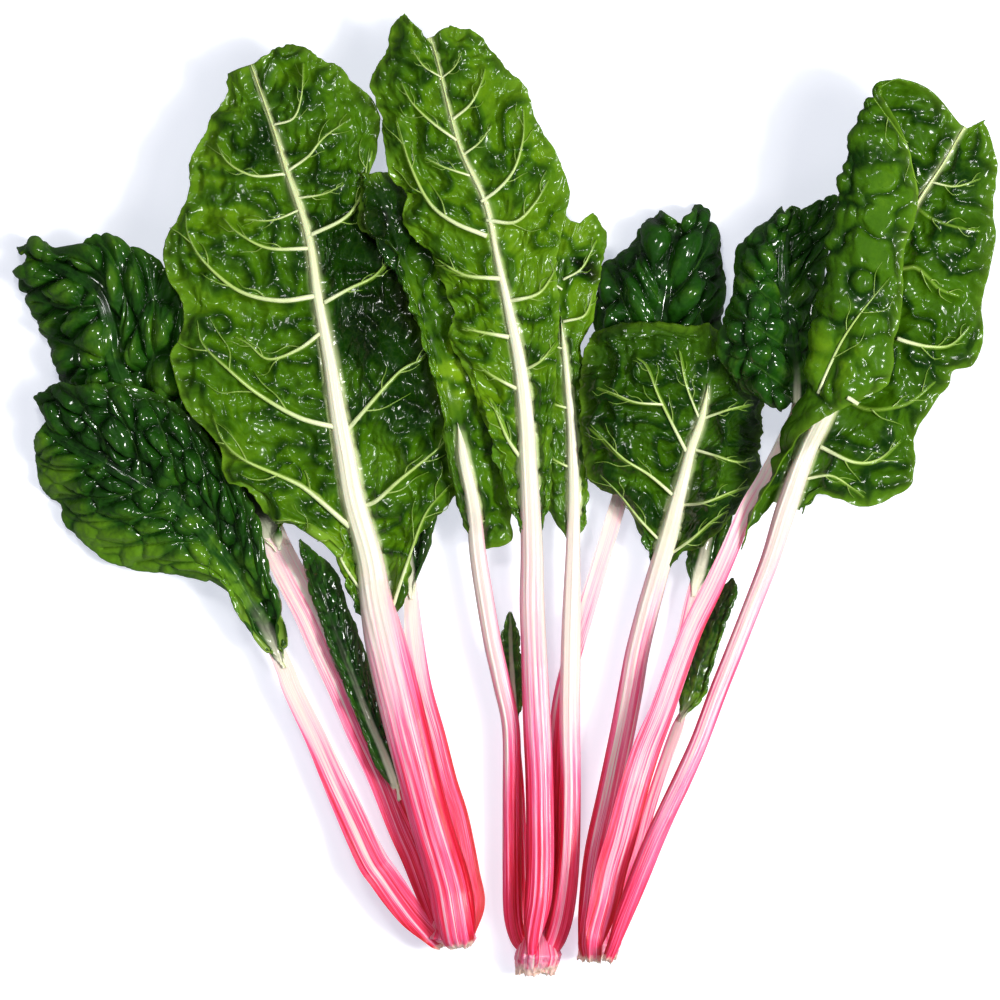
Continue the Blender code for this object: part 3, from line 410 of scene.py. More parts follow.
# How each leaf is dressed.
# fine: rows, and cells left and right of the rib. tapered: drawn in to a point on its stalk, as
# all are but those with False. pointed: drawn in to a point at its tip too.
# pucker: a blister's size out from the rib and along it, and its height, in mm. swell: height of
# the ground between side veins, lumps: of wide uneven places, frill: of the margin's waves, in mm.
# tint_and_shade: how light the blade is, to which the patches add. patches: lighter or darker
# places as (x, y, radius, amount); the strongly darker ones are painted shadow, where other leaves
# shade the blade or a gap between leaves shows dark.
# veins_left, veins_right: side veins as (width at the root, points from the rib outwards) on the
# drawing grid. A leaf without any grows as many as grown says, with branches unless branched is
# False. base_rib: how far up the rib's colour shows on an upper side. rib_end: the y beyond which
# the midrib is hidden. one_sided: both faces have the same look, because the blade is folded.
LOOKS = {
    "left_hidden": dict(
        fine=(110, 24, 24), pointed=True, pucker=(10, 8, 1.6), swell=1.5, frill=1.5, tint_and_shade=0.10),
    "left_inner": dict(
        fine=(170, 18, 18), pointed=True, pucker=(9, 7, 1.8), swell=1.2, frill=3.0, tint_and_shade=0.22,
        rib_end=720),
    "left_broad": dict(
        fine=(230, 125, 125), pucker=(23, 17, 7.5), swell=3.0, lumps=3.5, frill=2.4, tint_and_shade=0.44,
        grown=6, branched=False, base_rib=14 * MM),
    "left_outer": dict(
        fine=(220, 125, 120), pucker=(13, 12, 5.2), swell=3.0, lumps=3.0, frill=2.8, tint_and_shade=0.32,
        grown=7, branched=False, base_rib=14 * MM,
        patches=[(200, 574, 30, 0.62), (140, 566, 28, 0.70), (92, 540, 28, 0.72),
                 (50, 482, 24, 0.70), (36, 440, 16, 0.6), (240, 595, 20, 0.5)]),
    "left_front": dict(
        fine=(280, 115, 110), pucker=(13, 11, 5.0), swell=3.2, frill=2.6, tint_and_shade=0.46,
        # The darker patches are painted shadow over the blade's right half, cast by the leaves
        # lying over it.
        patches=[(262, 150, 24, -0.5), (335, 240, 36, -0.5), (402, 305, 55, -1.1),
                 (425, 395, 38, -0.8), (352, 340, 24, -0.5), (230, 200, 60, 0.10),
                 (340, 560, 40, 0.25), (230, 440, 40, 0.12)],
        veins_left=[
            (5, [(285, 176), (255, 178), (230, 165), (218, 145)]),
            (4, [(304, 210), (275, 222), (245, 222)]),
            (7, [(312, 250), (270, 250), (240, 235), (225, 220)]),
            (9, [(318, 297), (280, 302), (240, 292), (205, 262), (190, 235), (188, 215)]),
            (7, [(326, 330), (300, 350), (270, 360), (250, 345), (236, 338)]),
            (9, [(338, 428), (300, 418), (260, 395), (230, 370), (205, 345), (200, 322)]),
            (9, [(350, 527), (310, 492), (290, 480), (246, 460), (225, 440), (215, 415)]),
            (5, [(360, 590), (345, 566), (334, 546), (312, 530), (293, 520), (270, 517)]),
        ],
        veins_right=[
            (4, [(274, 127), (295, 120), (303, 95), (304, 65)]),
            (5, [(289, 173), (310, 158), (325, 140), (352, 120)]),
            (4, [(298, 200), (325, 196), (345, 186)]),
            (7, [(311, 237), (345, 220), (362, 195), (370, 150)]),
            (7, [(325, 304), (350, 290), (375, 277), (392, 255)]),
            (8, [(340, 440), (370, 405), (400, 372), (420, 360), (432, 345)]),
            (8, [(352, 505), (373, 503), (400, 480), (440, 447), (452, 430)]),
            (6, [(392, 610), (400, 585), (409, 558), (425, 515), (445, 490), (455, 482)]),
        ]),
    "middle_back": dict(
        fine=(150, 80, 80), tapered=False, pucker=(21, 17, 6.5), swell=2.4, lumps=3.0, frill=1.5,
        tint_and_shade=0.26, branched=False, base_rib=5 * MM),
    "right_inner": dict(
        fine=(90, 18, 18), pointed=True, pucker=(10, 8, 1.4), swell=1.0, frill=1.6, tint_and_shade=0.45),
    "right_small": dict(
        fine=(130, 20, 20), pointed=True, pucker=(9, 6, 1.8), swell=1.0, frill=2.8, tint_and_shade=0.44,
        base_rib=5 * MM, rib_end=700,
        patches=[(710, 640, 14, 0.35), (690, 700, 16, 0.35)]),
    "middle_sprig": dict(
        fine=(90, 12, 12), pointed=True, pucker=(7, 5, 1.2), swell=0.6, frill=1.4, tint_and_shade=0.40),
    "middle_small": dict(
        fine=(220, 55, 65), pucker=(12, 9, 3.0), swell=1.4, frill=2.6, tint_and_shade=0.42, grown=0,
        rib_end=424,
        # The darkest patch is painted shadow in the dark gap beside the front leaves.
        patches=[(455, 370, 32, 0.35), (428, 298, 40, 0.10), (380, 225, 42, -0.9)]),
    "middle_side": dict(
        fine=(210, 45, 45), pucker=(12, 9, 2.8), swell=1.8, frill=2.2, tint_and_shade=0.52, rib_end=318,
        # The three small dark patches are painted shade seen through a hole in the blade.
        patches=[(588, 268, 9, -2.0), (577, 262, 5, -1.6), (595, 277, 5, -1.8),
                 (575, 225, 25, 0.15)],
        veins_left=[
            (5, [(571, 409), (556, 405), (544, 400)]),
            (5, [(573, 469), (560, 463), (546, 455)]),
            (4, [(566, 350), (552, 345), (540, 335)]),
            (4, [(562, 290), (550, 280), (540, 262)]),
        ],
        veins_right=[
            (5, [(563, 322), (585, 315), (593, 290)]),
            (4, [(563, 280), (582, 268), (596, 240)]),
        ]),
    "right_low": dict(
        fine=(200, 130, 120), pucker=(14, 10, 4.2), swell=2.8, frill=2.0, tint_and_shade=0.24, rib_end=384,
        patches=[(620, 370, 45, -0.10), (740, 440, 40, -0.12)],
        veins_left=[
            (6, [(686, 452), (659, 400), (646, 369), (635, 358)]),
            (4, [(662, 405), (635, 403), (615, 395), (597, 388)]),
            (6, [(676, 498), (650, 476), (623, 459), (604, 440), (590, 425)]),
            (5, [(664, 545), (640, 520), (620, 495), (600, 475)]),
            (4, [(699, 420), (685, 385), (678, 350)]),
        ],
        veins_right=[
            (5, [(702, 419), (728, 410), (751, 404)]),
            (5, [(695, 450), (712, 455), (735, 462), (755, 460)]),
            (5, [(680, 505), (702, 503), (730, 492), (748, 486)]),
            (5, [(668, 556), (690, 540), (712, 520), (728, 510)]),
        ]),
    "right_curled": dict(
        fine=(150, 95, 70), tapered=False, pucker=(15, 12, 4.6), swell=2.4, frill=2.2, tint_and_shade=0.36,
        branched=False, base_rib=8 * MM),
    "right_tall": dict(
        fine=(250, 145, 90), pucker=(15, 12, 3.2), swell=2.8, frill=2.2, tint_and_shade=0.28, one_sided=True,
        patches=[(835, 360, 45, 0.22), (860, 200, 60, 0.05), (920, 300, 60, -0.02)],
        veins_left=[
            (5, [(814, 395), (822, 375), (836, 345), (852, 320), (868, 300), (884, 281)]),
            (4, [(863, 95), (880, 118), (900, 150), (907, 176), (910, 202)]),
        ],
        veins_right=[
            (5, [(912, 210), (928, 222), (951, 230), (975, 234)]),
            (7, [(899, 271), (912, 270), (924, 280), (935, 291), (955, 298)]),
            (7, [(893, 340), (905, 344), (925, 348), (947, 346), (966, 327)]),
            (7, [(842, 399), (865, 410), (895, 406), (915, 395), (932, 380)]),
            (7, [(818, 447), (849, 462), (875, 460), (898, 440)]),
            (5, [(804, 479), (828, 476), (848, 487), (862, 497)]),
            (4, [(925, 185), (950, 190), (975, 182)]),
        ]),
    "middle_front": dict(
        fine=(300, 100, 95), pucker=(13, 11, 4.2), swell=2.6, frill=2.2, tint_and_shade=0.54,
        patches=[(405, 170, 40, -0.10), (500, 420, 60, 0.05)],
        veins_left=[
            (3, [(442, 80), (425, 70), (412, 52)]),
            (5, [(457, 143), (432, 125), (412, 105), (402, 85)]),
            (8, [(487, 238), (455, 225), (430, 205), (410, 165), (397, 120)]),
            (4, [(470, 178), (445, 170), (425, 160)]),
            (8, [(500, 280), (470, 278), (455, 272), (436, 260)]),
            (8, [(509, 338), (480, 333), (462, 329)]),
            (7, [(518, 390), (495, 378), (478, 366)]),
            (7, [(522, 460), (508, 440), (497, 415), (488, 398)]),
        ],
        veins_right=[
            (5, [(453, 122), (470, 108), (480, 90), (485, 72)]),
            (4, [(464, 157), (480, 145), (492, 128)]),
            (6, [(481, 204), (500, 190), (515, 170), (523, 140), (523, 110)]),
            (7, [(486, 222), (515, 224), (535, 205), (548, 182)]),
            (7, [(506, 303), (536, 296), (550, 280), (558, 262)]),
            (6, [(517, 374), (540, 362), (556, 342)]),
            (3, [(440, 82), (455, 70), (462, 55)]),
        ]),
}

# How red each stalk is from its base to its tip, as (share of its length, redness) stops, and on
# which side it has a crimson line: 1 left, -1 right, 0 none.
REDNESS = {
    "left_hidden": ([(0, 0.80), (0.15, 0.70), (0.30, 0.45), (0.42, 0.18), (0.55, 0)], -1),
    "left_inner": ([(0, 0.85), (0.30, 0.80), (0.60, 0.50), (1, 0.2)], 0),
    "left_broad": ([(0, 0.82), (0.10, 0.72), (0.20, 0.55), (0.32, 0.34),
                    (0.45, 0.20), (0.6, 0)], 0),
    "left_outer": ([(0, 0.62), (0.14, 0.44), (0.28, 0.28), (0.42, 0.08), (0.5, 0)], 1),
    "left_front": ([(0, 0.56), (0.10, 0.60), (0.20, 0.50), (0.27, 0.32),
                    (0.35, 0.14), (0.46, 0)], -1),
    "middle_back": ([(0, 0.80), (0.2, 0.75), (0.35, 0.5), (0.5, 0.2), (0.6, 0.12)], 0),
    "right_inner": ([(0, 0.7), (0.3, 0.5), (0.6, 0.3), (0.8, 0.2)], 0),
    "right_small": ([(0, 0.7), (0.3, 0.5), (0.5, 0.25), (0.7, 0.05)], 1),
    "middle_sprig": ([(0, 0.7), (0.5, 0.6), (1, 0.2)], 0),
    "middle_small": ([(0, 0.78), (0.12, 0.70), (0.20, 0.56), (0.29, 0.30),
                      (0.40, 0.16), (0.56, 0)], -1),
    "middle_side": ([(0, 0.62), (0.12, 0.54), (0.22, 0.40), (0.32, 0.14), (0.42, 0)], 1),
    "right_low": ([(0, 0.76), (0.15, 0.58), (0.30, 0.34), (0.42, 0.24),
                   (0.52, 0.14), (0.62, 0.02)], 1),
    "right_curled": ([(0, 0.68), (0.12, 0.50), (0.25, 0.38), (0.45, 0.30),
                      (0.58, 0.24), (0.70, 0.04)], -1),
    "right_tall": ([(0, 0.70), (0.12, 0.50), (0.22, 0.34), (0.34, 0.26),
                    (0.44, 0.18), (0.56, 0)], 1),
    "middle_front": ([(0, 0.62), (0.10, 0.58), (0.18, 0.46), (0.25, 0.30),
                      (0.34, 0.16), (0.54, 0)], 1),
}

# Where a stalk runs on below its solid to its torn end, as spine points from the end upwards.
TAILS = {
    "left_front": [(461, 949, 4, 20), (460, 944, 6, 28)],
    "left_hidden": [(462, 947, 5, 12), (466, 941, 8, 15)],
    "left_broad": [(446, 947, 6, 12), (444, 940, 8, 16)],
    "left_outer": [(443, 948, 7, 9), (437, 944, 10, 13)],
    "middle_small": [(534, 974, 6, 11), (530, 963, 8, 12)],
    "middle_side": [(541, 975, 6, 14), (546, 965, 7, 16)],
    "middle_front": [(533, 962, 10, 9), (532, 954, 13, 10)],
    "right_low": [(588, 962, 3, 12), (587, 951, 5, 15)],
    "right_curled": [(594, 962, 8, 13), (594, 952, 12, 15)],
    "right_tall": [(606, 960, 5, 10), (610, 949, 8, 12)],
}


def on_table(points):
    """Drawing-grid points as metres, with the bunch's middle at the origin."""
    points = np.array(points, float)
    points[:, 0] = (points[:, 0] - MIDDLE_X) * STEP
    points[:, 1] = (MIDDLE_Y - points[:, 1]) * STEP
    points[:, 2] *= MM
    points[:, 3:] *= STEP
    return points


def dense_curve(points, per_span=SPAN_POINTS):
    """A smooth curve through the given points, and each dense point's share of its length."""
    ends = np.vstack([2 * points[0] - points[1], points, 2 * points[-1] - points[-2]])
    t = np.linspace(0, 1, per_span, endpoint=False)[:, None]
    spans = []
    for a, b, c, d in zip(ends, ends[1:], ends[2:], ends[3:]):
        bend = (2 * a - 5 * b + 4 * c - d) * t**2 + (3 * b - a - 3 * c + d) * t**3
        spans.append(0.5 * (2 * b + (c - a) * t + bend))
    curve = np.vstack(spans + [points[-1:]])
    steps = np.linalg.norm(np.diff(curve[:, :2], axis=0), axis=1)
    length = np.concatenate([[0], np.cumsum(steps)])
    return curve, length / length[-1]


def along(points, shares):
    """Points on the smooth curve through the given ones, at these shares of its length."""
    curve, length = dense_curve(points)
    return np.stack([np.interp(shares, length, column) for column in curve.T], axis=1)


def across(stops, cells):
    """Points spread from the first stop to the last by a smooth curve, the first one left out."""
    if len(stops) == 2:
        share = (np.arange(1, cells + 1) / cells)[:, None]
        return stops[0] * (1 - share) + stops[1] * share
    curve = dense_curve(np.array(stops), ACROSS_POINTS)[0]
    share = np.arange(1, cells + 1) / cells * (len(stops) - 1)
    knots = np.arange(len(curve)) / ACROSS_POINTS
    return np.stack([np.interp(share, knots, column) for column in curve.T], axis=1)


def side_normals(spine):
    """Unit vectors to the left of the spine, level with the table."""
    ahead = np.gradient(spine[:, :2], axis=0)
    ahead /= np.linalg.norm(ahead, axis=1)[:, None]
    return np.stack([-ahead[:, 1], ahead[:, 0]], axis=1)


def stalk_height(width):
    return STALK_FLATNESS * width + STALK_LEAST_HEIGHT


def spine_shares(leaf, before_rows, rows):
    """Shares of the spine's length: the stalk's rows, then the blade's."""
    length = dense_curve(on_table(leaf["spine"]))[1]
    start = length[leaf["start"] * SPAN_POINTS]
    before = np.linspace(0, start, before_rows + 1)[:-1]
    return np.concatenate([before, np.linspace(start, 1, rows + 1)])


def spine_stations(leaf, before_rows, rows):
    """Stations along the whole stalk and midrib; the first before_rows come before the blade."""
    return along(on_table(leaf["spine"]), spine_shares(leaf, before_rows, rows))


def pushed_out(points, spine, normals, reach, side):
    """Side points moved outwards where they would come too close to the rib."""
    offset = (points[:, :2] - spine[:, :2]) * normals * side
    short = np.maximum(reach - offset.sum(axis=1), 0)
    points[:, :2] += normals * (side * short)[:, None]
    return points


def relief(leaf, share, out, side, rng):
    """Puckers between the lateral veins and waves at the margin, in metres of height."""
    dome = abs(math.sin(math.pi * leaf["laterals"] * share)) - 0.5
    puckers = leaf["dome"] * dome * math.sin(math.pi * min(out * 1.15, 1.0))
    turn = 2 * math.pi * leaf["waves"] * share + (0.0 if side < 0 else 1.9)
    waves = leaf["wave"] * math.sin(turn + 0.8 * math.sin(2.7 * turn)) * out**3
    return (puckers + waves + rng.uniform(-0.3, 0.3)) * MM


def blade_net(leaf, rows, left_cells, right_cells, rough):
    """The blade as rows from its start to its tip, with columns from its left to its right."""
    rng = np.random.default_rng(SEED + len(leaf["name"]))
    stations = spine_stations(leaf, STALK_ROWS, rows)
    spine = stations[STALK_ROWS:]
    normals = side_normals(stations)[STALK_ROWS:]
    shares = np.linspace(0, 1, rows + 1)
    strip = spine[:, 3] / 2 + RIB_MARGIN
    sides = {}
    for side, lines, cells in ((1, leaf["left"], left_cells), (-1, leaf["right"], right_cells)):
        edge = spine[:, :3].copy()
        edge[:, :2] += normals * (side * strip)[:, None]
        stops = [edge]
        beside_rib = len(lines) - (leaf.get("folded_lines", 0) if side > 0 else 0)
        for number, line in enumerate(lines, 1):
            points = along(on_table(line), shares**MARGIN_LEAD)
            if number <= beside_rib:
                grown = np.minimum(LOBE_START + shares * LOBE_GROWTH, 1.0)
                reach = strip + number * LEAST_LOBE * grown
                points = pushed_out(points, spine, normals, reach, side)
            stops.append(points)
        made = []
        for row, share in enumerate(shares):
            points = across([stop[row] for stop in stops], cells)
            for cell in range(cells):
                out = (cell + 1) / cells
                points[cell, 2] += leaf["arch"] * MM * 4 * out * (1 - out)
                if rough:
                    points[cell, 2] += relief(leaf, share, out, side, rng)
            made.append(points)
        sides[side] = (edge, np.array(made))
    left_edge, left = sides[1]
    right_edge, right = sides[-1]
    middle = np.stack([left_edge, spine[:, :3], right_edge], axis=1)
    return np.concatenate([left[:, ::-1], middle, right], axis=1)


def between(net, times):
    """The net with more points between its rows and its columns."""
    def filled(rows):
        t = (np.arange(times) / times).reshape(1, times, 1, 1)
        spans = rows[:-1, None] * (1 - t) + rows[1:, None] * t
        return np.concatenate([spans.reshape(-1, *rows.shape[1:]), rows[-1:]])

    return filled(filled(net).transpose(1, 0, 2)).transpose(1, 0, 2)


def table_cells(points, cell=TABLE_CELL):
    """The row and column of each point in a grid of heights over the table."""
    index = ((points[..., :2] + TABLE_HALF) / cell).astype(int)
    return index[..., 1], index[..., 0]


def widened(heights):
    """Each cell takes the highest of itself and its neighbours."""
    padded = np.pad(heights, 1, mode="edge")
    size = heights.shape[0]
    nearby = [padded[a:a + size, b:b + size] for a in range(3) for b in range(3)]
    return np.max(nearby, axis=0)


def stalk_band(stations, normals):
    """Points across the flat face of a stalk, with its width."""
    shares = np.linspace(-0.5, 0.5, BAND_POINTS)
    band = np.repeat(stations[:, None, :3], len(shares), axis=1)
    offsets = shares[None, :, None] * stations[:, 3][:, None, None]
    band[..., :2] += normals[:, None] * offsets
    return band


def raised_to(heights, points, bottoms):
    """How far each point has to rise for its bottom to clear these heights."""
    rows, columns = table_cells(points)
    return np.maximum(heights[rows, columns] - bottoms, 0)


def spread_lift(lift, spacing, axis):
    """Neighbours follow a lift, no steeper than the steepest slope."""
    step = STEEPEST_LIFT * spacing
    lift = np.moveaxis(lift, axis, 0)
    for i in range(1, len(lift)):
        lift[i] = np.maximum(lift[i], lift[i - 1] - step)
    for i in range(len(lift) - 2, -1, -1):
        lift[i] = np.maximum(lift[i], lift[i + 1] - step)
    return np.moveaxis(lift, 0, axis)


def lay_down(leaf, heights):
    """Lifts the leaf clear of what lies below it, and returns its lifts and its stalk's."""
    first = STALK_ROWS
    stations = spine_stations(leaf, first, leaf["rows"])
    normals = side_normals(stations)
    net = blade_net(leaf, leaf["rows"], leaf["left_cells"], leaf["right_cells"], rough=True)
    flat_net, flat_stations = net[..., 2].copy(), stations[:, 2].copy()
    middle = leaf["left_cells"] + 1
    times = LAY_DETAIL
    below = widened(heights) + LEAF_CLEARANCE
    spacing = float(np.median(np.linalg.norm(np.diff(net[:, middle, :2], axis=0), axis=1)))
    hang = BLADE_THICKNESS / 2
    for _ in range(LAY_ROUNDS):
        fine = between(net, times)
        need = raised_to(below, fine, fine[..., 2] - hang)
        lift = np.zeros(net.shape[:2])
        for row in range(net.shape[0]):
            rows = slice(max(row - 1, 0) * times, (row + 1) * times + 1)
            for column in range(net.shape[1]):
                columns = slice(max(column - 1, 0) * times, (column + 1) * times + 1)
                lift[row, column] = need[rows, columns].max()
        rib_low = stalk_height(stations[:, 3]) + RIB_GAP if leaf["shows"] == "upper" else 0.0
        dense = between(stalk_band(stations, normals), times)
        lows = np.repeat((stations[:, 2] - rib_low)[:, None], BAND_POINTS, axis=1)[..., None]
        lows = between(lows, times)[..., 0]
        need = raised_to(below, dense, lows - hang).max(axis=1)
        stalk_lift = np.array([
            need[max(i - 1, 0) * times:(i + 1) * times + 1].max() for i in range(len(stations))
        ])
        strip = lift[:, middle - 1:middle + 2].max(axis=1)
        stalk_lift[first:] = np.maximum(stalk_lift[first:], strip)
        stalk_lift = spread_lift(stalk_lift, spacing, 0)
        if leaf.get("folded_lines"):
            stalk_lift[first:] = np.maximum(stalk_lift[first:], lift.max(axis=1))
            stalk_lift = spread_lift(stalk_lift, spacing, 0)
            lift = np.repeat(stalk_lift[first:, None], net.shape[1], axis=1)
        else:
            lift[:, middle - 1:middle + 2] = stalk_lift[first:, None]
            lift = spread_lift(spread_lift(lift, spacing, 0), spacing * SIDEWAYS_EASE, 1)
            strip = lift[:, middle - 1:middle + 2].max(axis=1)
            lift[:, middle - 1:middle + 2] = strip[:, None]
            stalk_lift[first:] = strip
        net[..., 2] += lift
        stations[:, 2] += stalk_lift
        if max(lift.max(), stalk_lift.max()) < LAID_CLOSELY:
            break
    settle(leaf, stations, normals, net, heights)
    return net[..., 2] - flat_net, stations[:, 2] - flat_stations


def settle(leaf, stations, normals, net, heights):
    """The heights of what lies on the table, with this leaf and its stalk added."""
    fine = between(net, SETTLE_DETAIL)
    np.maximum.at(heights, table_cells(fine), fine[..., 2] + BLADE_THICKNESS / 2)
    dense = between(stalk_band(stations, normals), SETTLE_DETAIL)
    rise = stalk_height(stations[:, 3]) + RIB_GAP if leaf["shows"] == "underside" else 0.0
    tops = np.repeat((stations[:, 2] + rise)[:, None], BAND_POINTS, axis=1)[..., None]
    tops = between(tops, SETTLE_DETAIL)[..., 0]
    np.maximum.at(heights, table_cells(dense), tops + BLADE_THICKNESS / 2)


def noise_grid(rng_seed, points):
    """Smooth noise from -1 to 1 at two-column points, one cell a unit, repeating by its size."""
    size = NOISE_SIZE
    table = np.random.default_rng(rng_seed).uniform(-1, 1, (size, size))
    low = np.floor(points).astype(int)
    t = points - low
    t = t * t * (3 - 2 * t)
    x0, y0 = low[..., 0] % size, low[..., 1] % size
    x1, y1 = (x0 + 1) % size, (y0 + 1) % size
    near = table[y0, x0] * (1 - t[..., 0]) + table[y0, x1] * t[..., 0]
    far = table[y1, x0] * (1 - t[..., 0]) + table[y1, x1] * t[..., 0]
    return near * (1 - t[..., 1]) + far * t[..., 1]


def rough_noise(rng_seed, points):
    """Smooth noise in three sizes, each about half of the one before and half as strong."""
    total = sum(0.5**octave * noise_grid(rng_seed + octave, points * 2.03**octave)
                for octave in range(3))
    return total / 1.75


def blister_cells(rng_seed, points):
    """For two-column points in cells, the gap between the two nearest seeds: 0 on a crease."""
    size = NOISE_SIZE
    shifts = np.random.default_rng(rng_seed).uniform(0.12, 0.88, (size, size, 2))
    low = np.floor(points).astype(int)
    first = np.full(points.shape[:-1], 9.0)
    second = first.copy()
    for dy in (-1, 0, 1):
        for dx in (-1, 0, 1):
            cx, cy = low[..., 0] + dx, low[..., 1] + dy
            seed = np.stack([cx, cy], axis=-1) + shifts[cy % size, cx % size]
            gap = np.linalg.norm(points - seed, axis=-1)
            second = np.minimum(second, np.maximum(first, gap))
            first = np.minimum(first, gap)
    return second - first


def domed(crease):
    """A blister's rise from its crease: steep at first, then rounded over."""
    return np.sin(np.minimum(crease * 1.25, 1.0) * math.pi / 2) ** 0.8


def curve_points(points):
    """Points on the drawing grid as an even smooth curve on the table, two columns."""
    flat = on_table([(x, y, 0.0) for x, y in points])
    return along(flat, np.linspace(0, 1, VEIN_POINTS))[:, :2]


def branches(line, width, rng):
    """Thinner veins that leave a side vein to both sides and bend towards its end."""
    made = []
    steps = np.diff(line, axis=0)
    length = np.linalg.norm(steps, axis=1).sum()
    for number, share in enumerate(BRANCH_SHARES):
        at = int(share * (len(line) - 1))
        ahead = steps[min(at, len(steps) - 1)]
        ahead = ahead / np.linalg.norm(ahead)
        turn = (1 if number % 2 else -1) * rng.uniform(0.55, 0.95)
        reach = length * rng.uniform(0.20, 0.38) * (1.15 - 0.5 * share)
        stops = [line[at]]
        for part in (0.35, 0.7, 1.0):
            angle = turn * (1 - 0.5 * part) + rng.uniform(-0.15, 0.15)
            way = np.array([ahead[0] * math.cos(angle) - ahead[1] * math.sin(angle),
                            ahead[0] * math.sin(angle) + ahead[1] * math.cos(angle)])
            stops.append(line[at] + way * reach * part)
        curve = along(np.array(stops), np.linspace(0, 1, BRANCH_POINTS))
        made.append((width * 0.40 * (1 - 0.5 * share), curve))
    return made


def grown_veins(net, middle, side, count, rng):
    """Side veins by rule on a leaf's net, each slanting from the rib towards the tip."""
    rows, columns = net.shape[0] - 1, net.shape[1] - 1
    edge = 0 if side > 0 else columns
    made = []
    for number in range(count):
        root = (number + 0.35 + rng.uniform(-0.12, 0.12)) / count * 0.88
        line = []
        for out in np.linspace(0, 0.94, 16):
            share = min(root + (0.10 + 0.16 * (1 - root)) * out**1.3, 0.995)
            row, column = share * rows, middle + (edge - middle) * out
            line.append(net[int(round(row)), int(round(column)), :2])
        curve = along(np.array(line), np.linspace(0, 1, VEIN_POINTS))
        made.append(((4 - 2 * root) * STEP, curve))
    return made


def vein_lines(look, net, middle, side, rng):
    """The side veins of one side as (root width, curve), and their branches."""
    given = look.get("veins_left" if side > 0 else "veins_right")
    if given:
        lines = [(width * VEIN_SLIMMING * STEP, curve_points(points)) for width, points in given]
    else:
        lines = grown_veins(net, middle, side, look.get("grown", GROWN_VEINS), rng)
    small = []
    if look.get("branched", True):
        for width, line in lines:
            small += branches(line, width, rng)
    return lines, small


def vein_field(points, lines, end_width):
    """Distance from each point to the nearest vein, and how strongly and thickly it is on one."""
    nearest = np.full(points.shape[:-1], 1.0)
    on_vein = np.zeros(points.shape[:-1])
    thick = np.zeros(points.shape[:-1])
    for width, full_line in lines:
        line = full_line[::2]
        spans = len(line) - 1
        for index in range(spans):
            a, b = line[index], line[index + 1]
            along_it = b - a
            t = ((points - a) @ along_it / max(along_it @ along_it, 1e-12)).clip(0, 1)
            gap = np.linalg.norm(points - (a + t[..., None] * along_it), axis=-1)
            share = (index + t) / spans
            half = (width * (1 - share) ** 0.8 + end_width * share) * 0.5
            strength = np.exp(-(gap / half) ** 2)
            better = strength > on_vein
            thick = np.where(better, half, thick)
            on_vein = np.maximum(on_vein, strength)
            nearest = np.minimum(nearest, gap)
    return nearest, on_vein, thick


def upsampled(lift, leaf, rows, left_cells, right_cells):
    """The coarse net's lifts at the rows and columns of the fine net."""
    left, right = leaf["left_cells"], leaf["right_cells"]
    fine_left = left - np.arange(left_cells, 0, -1) / left_cells * left
    fine_right = left + 2 + np.arange(1, right_cells + 1) / right_cells * right
    columns = np.concatenate([fine_left, [left, left + 1, left + 2], fine_right])
    rows_at = np.linspace(0, leaf["rows"], rows + 1)

    def smooth(values, where):
        low = np.clip(np.floor(where).astype(int), 0, len(values) - 2)
        t = (where - low).reshape(-1, *([1] * (values.ndim - 1)))
        a = values[np.maximum(low - 1, 0)]
        b, c = values[low], values[low + 1]
        d = values[np.minimum(low + 2, len(values) - 1)]
        bend = (2 * a - 5 * b + 4 * c - d) * t**2 + (3 * b - a - 3 * c + d) * t**3
        return 0.5 * (2 * b + (c - a) * t + bend)

    return smooth(smooth(lift, rows_at).T, columns).T


def with_strip(net, left_cells, cells):
    """The net with more columns across the strip over its rib."""
    share = (np.arange(cells) / cells)[None, :, None]
    left, middle, right = (net[:, left_cells + k][:, None] for k in range(3))
    return np.concatenate([net[:, :left_cells], left * (1 - share) + middle * share,
                           middle * (1 - share) + right * share, net[:, left_cells + 2:]], axis=1)


def surface_normals(net):
    """Unit normals of a net, pointing up where the leaf lies flat."""
    down_rows = np.gradient(net, axis=0)
    over_columns = np.gradient(net, axis=1)
    normals = np.cross(over_columns, down_rows)
    return normals / np.maximum(np.linalg.norm(normals, axis=-1), 1e-12)[..., None]


def flat_coordinates(net, middle):
    """Each point's distances up and across the unrolled blade, and from the left margin."""
    steps = np.linalg.norm(np.diff(net, axis=1), axis=-1)
    run = np.concatenate([np.zeros((len(net), 1)), np.cumsum(steps, axis=1)], axis=1)
    across_it = run - run[:, middle:middle + 1]
    spine_steps = np.linalg.norm(np.diff(net[:, middle], axis=0), axis=-1)
    up_it = np.concatenate([[0], np.cumsum(spine_steps)])
    return np.repeat(up_it[:, None], net.shape[1], axis=1), across_it, run


def patch_lightness_and_shade(name, plan):
    """Lighter or darker at each point by the places listed for it: paler spots, and painted shadow.
    """
    shift = np.zeros(plan.shape[:-1])
    for x, y, radius, amount in LOOKS[name].get("patches", []):
        centre = on_table([(x, y, 0.0)])[0, :2]
        gap = np.linalg.norm(plan - centre, axis=-1) / (radius * STEP)
        shift = shift + amount * np.exp(-(gap**2))
    return shift


def blurred(values):
    """Each point takes the mean of itself and its neighbours."""
    padded = np.pad(values, 1, mode="edge")
    rows, columns = values.shape
    return sum(padded[a:a + rows, b:b + columns] for a in range(3) for b in range(3)) / 9


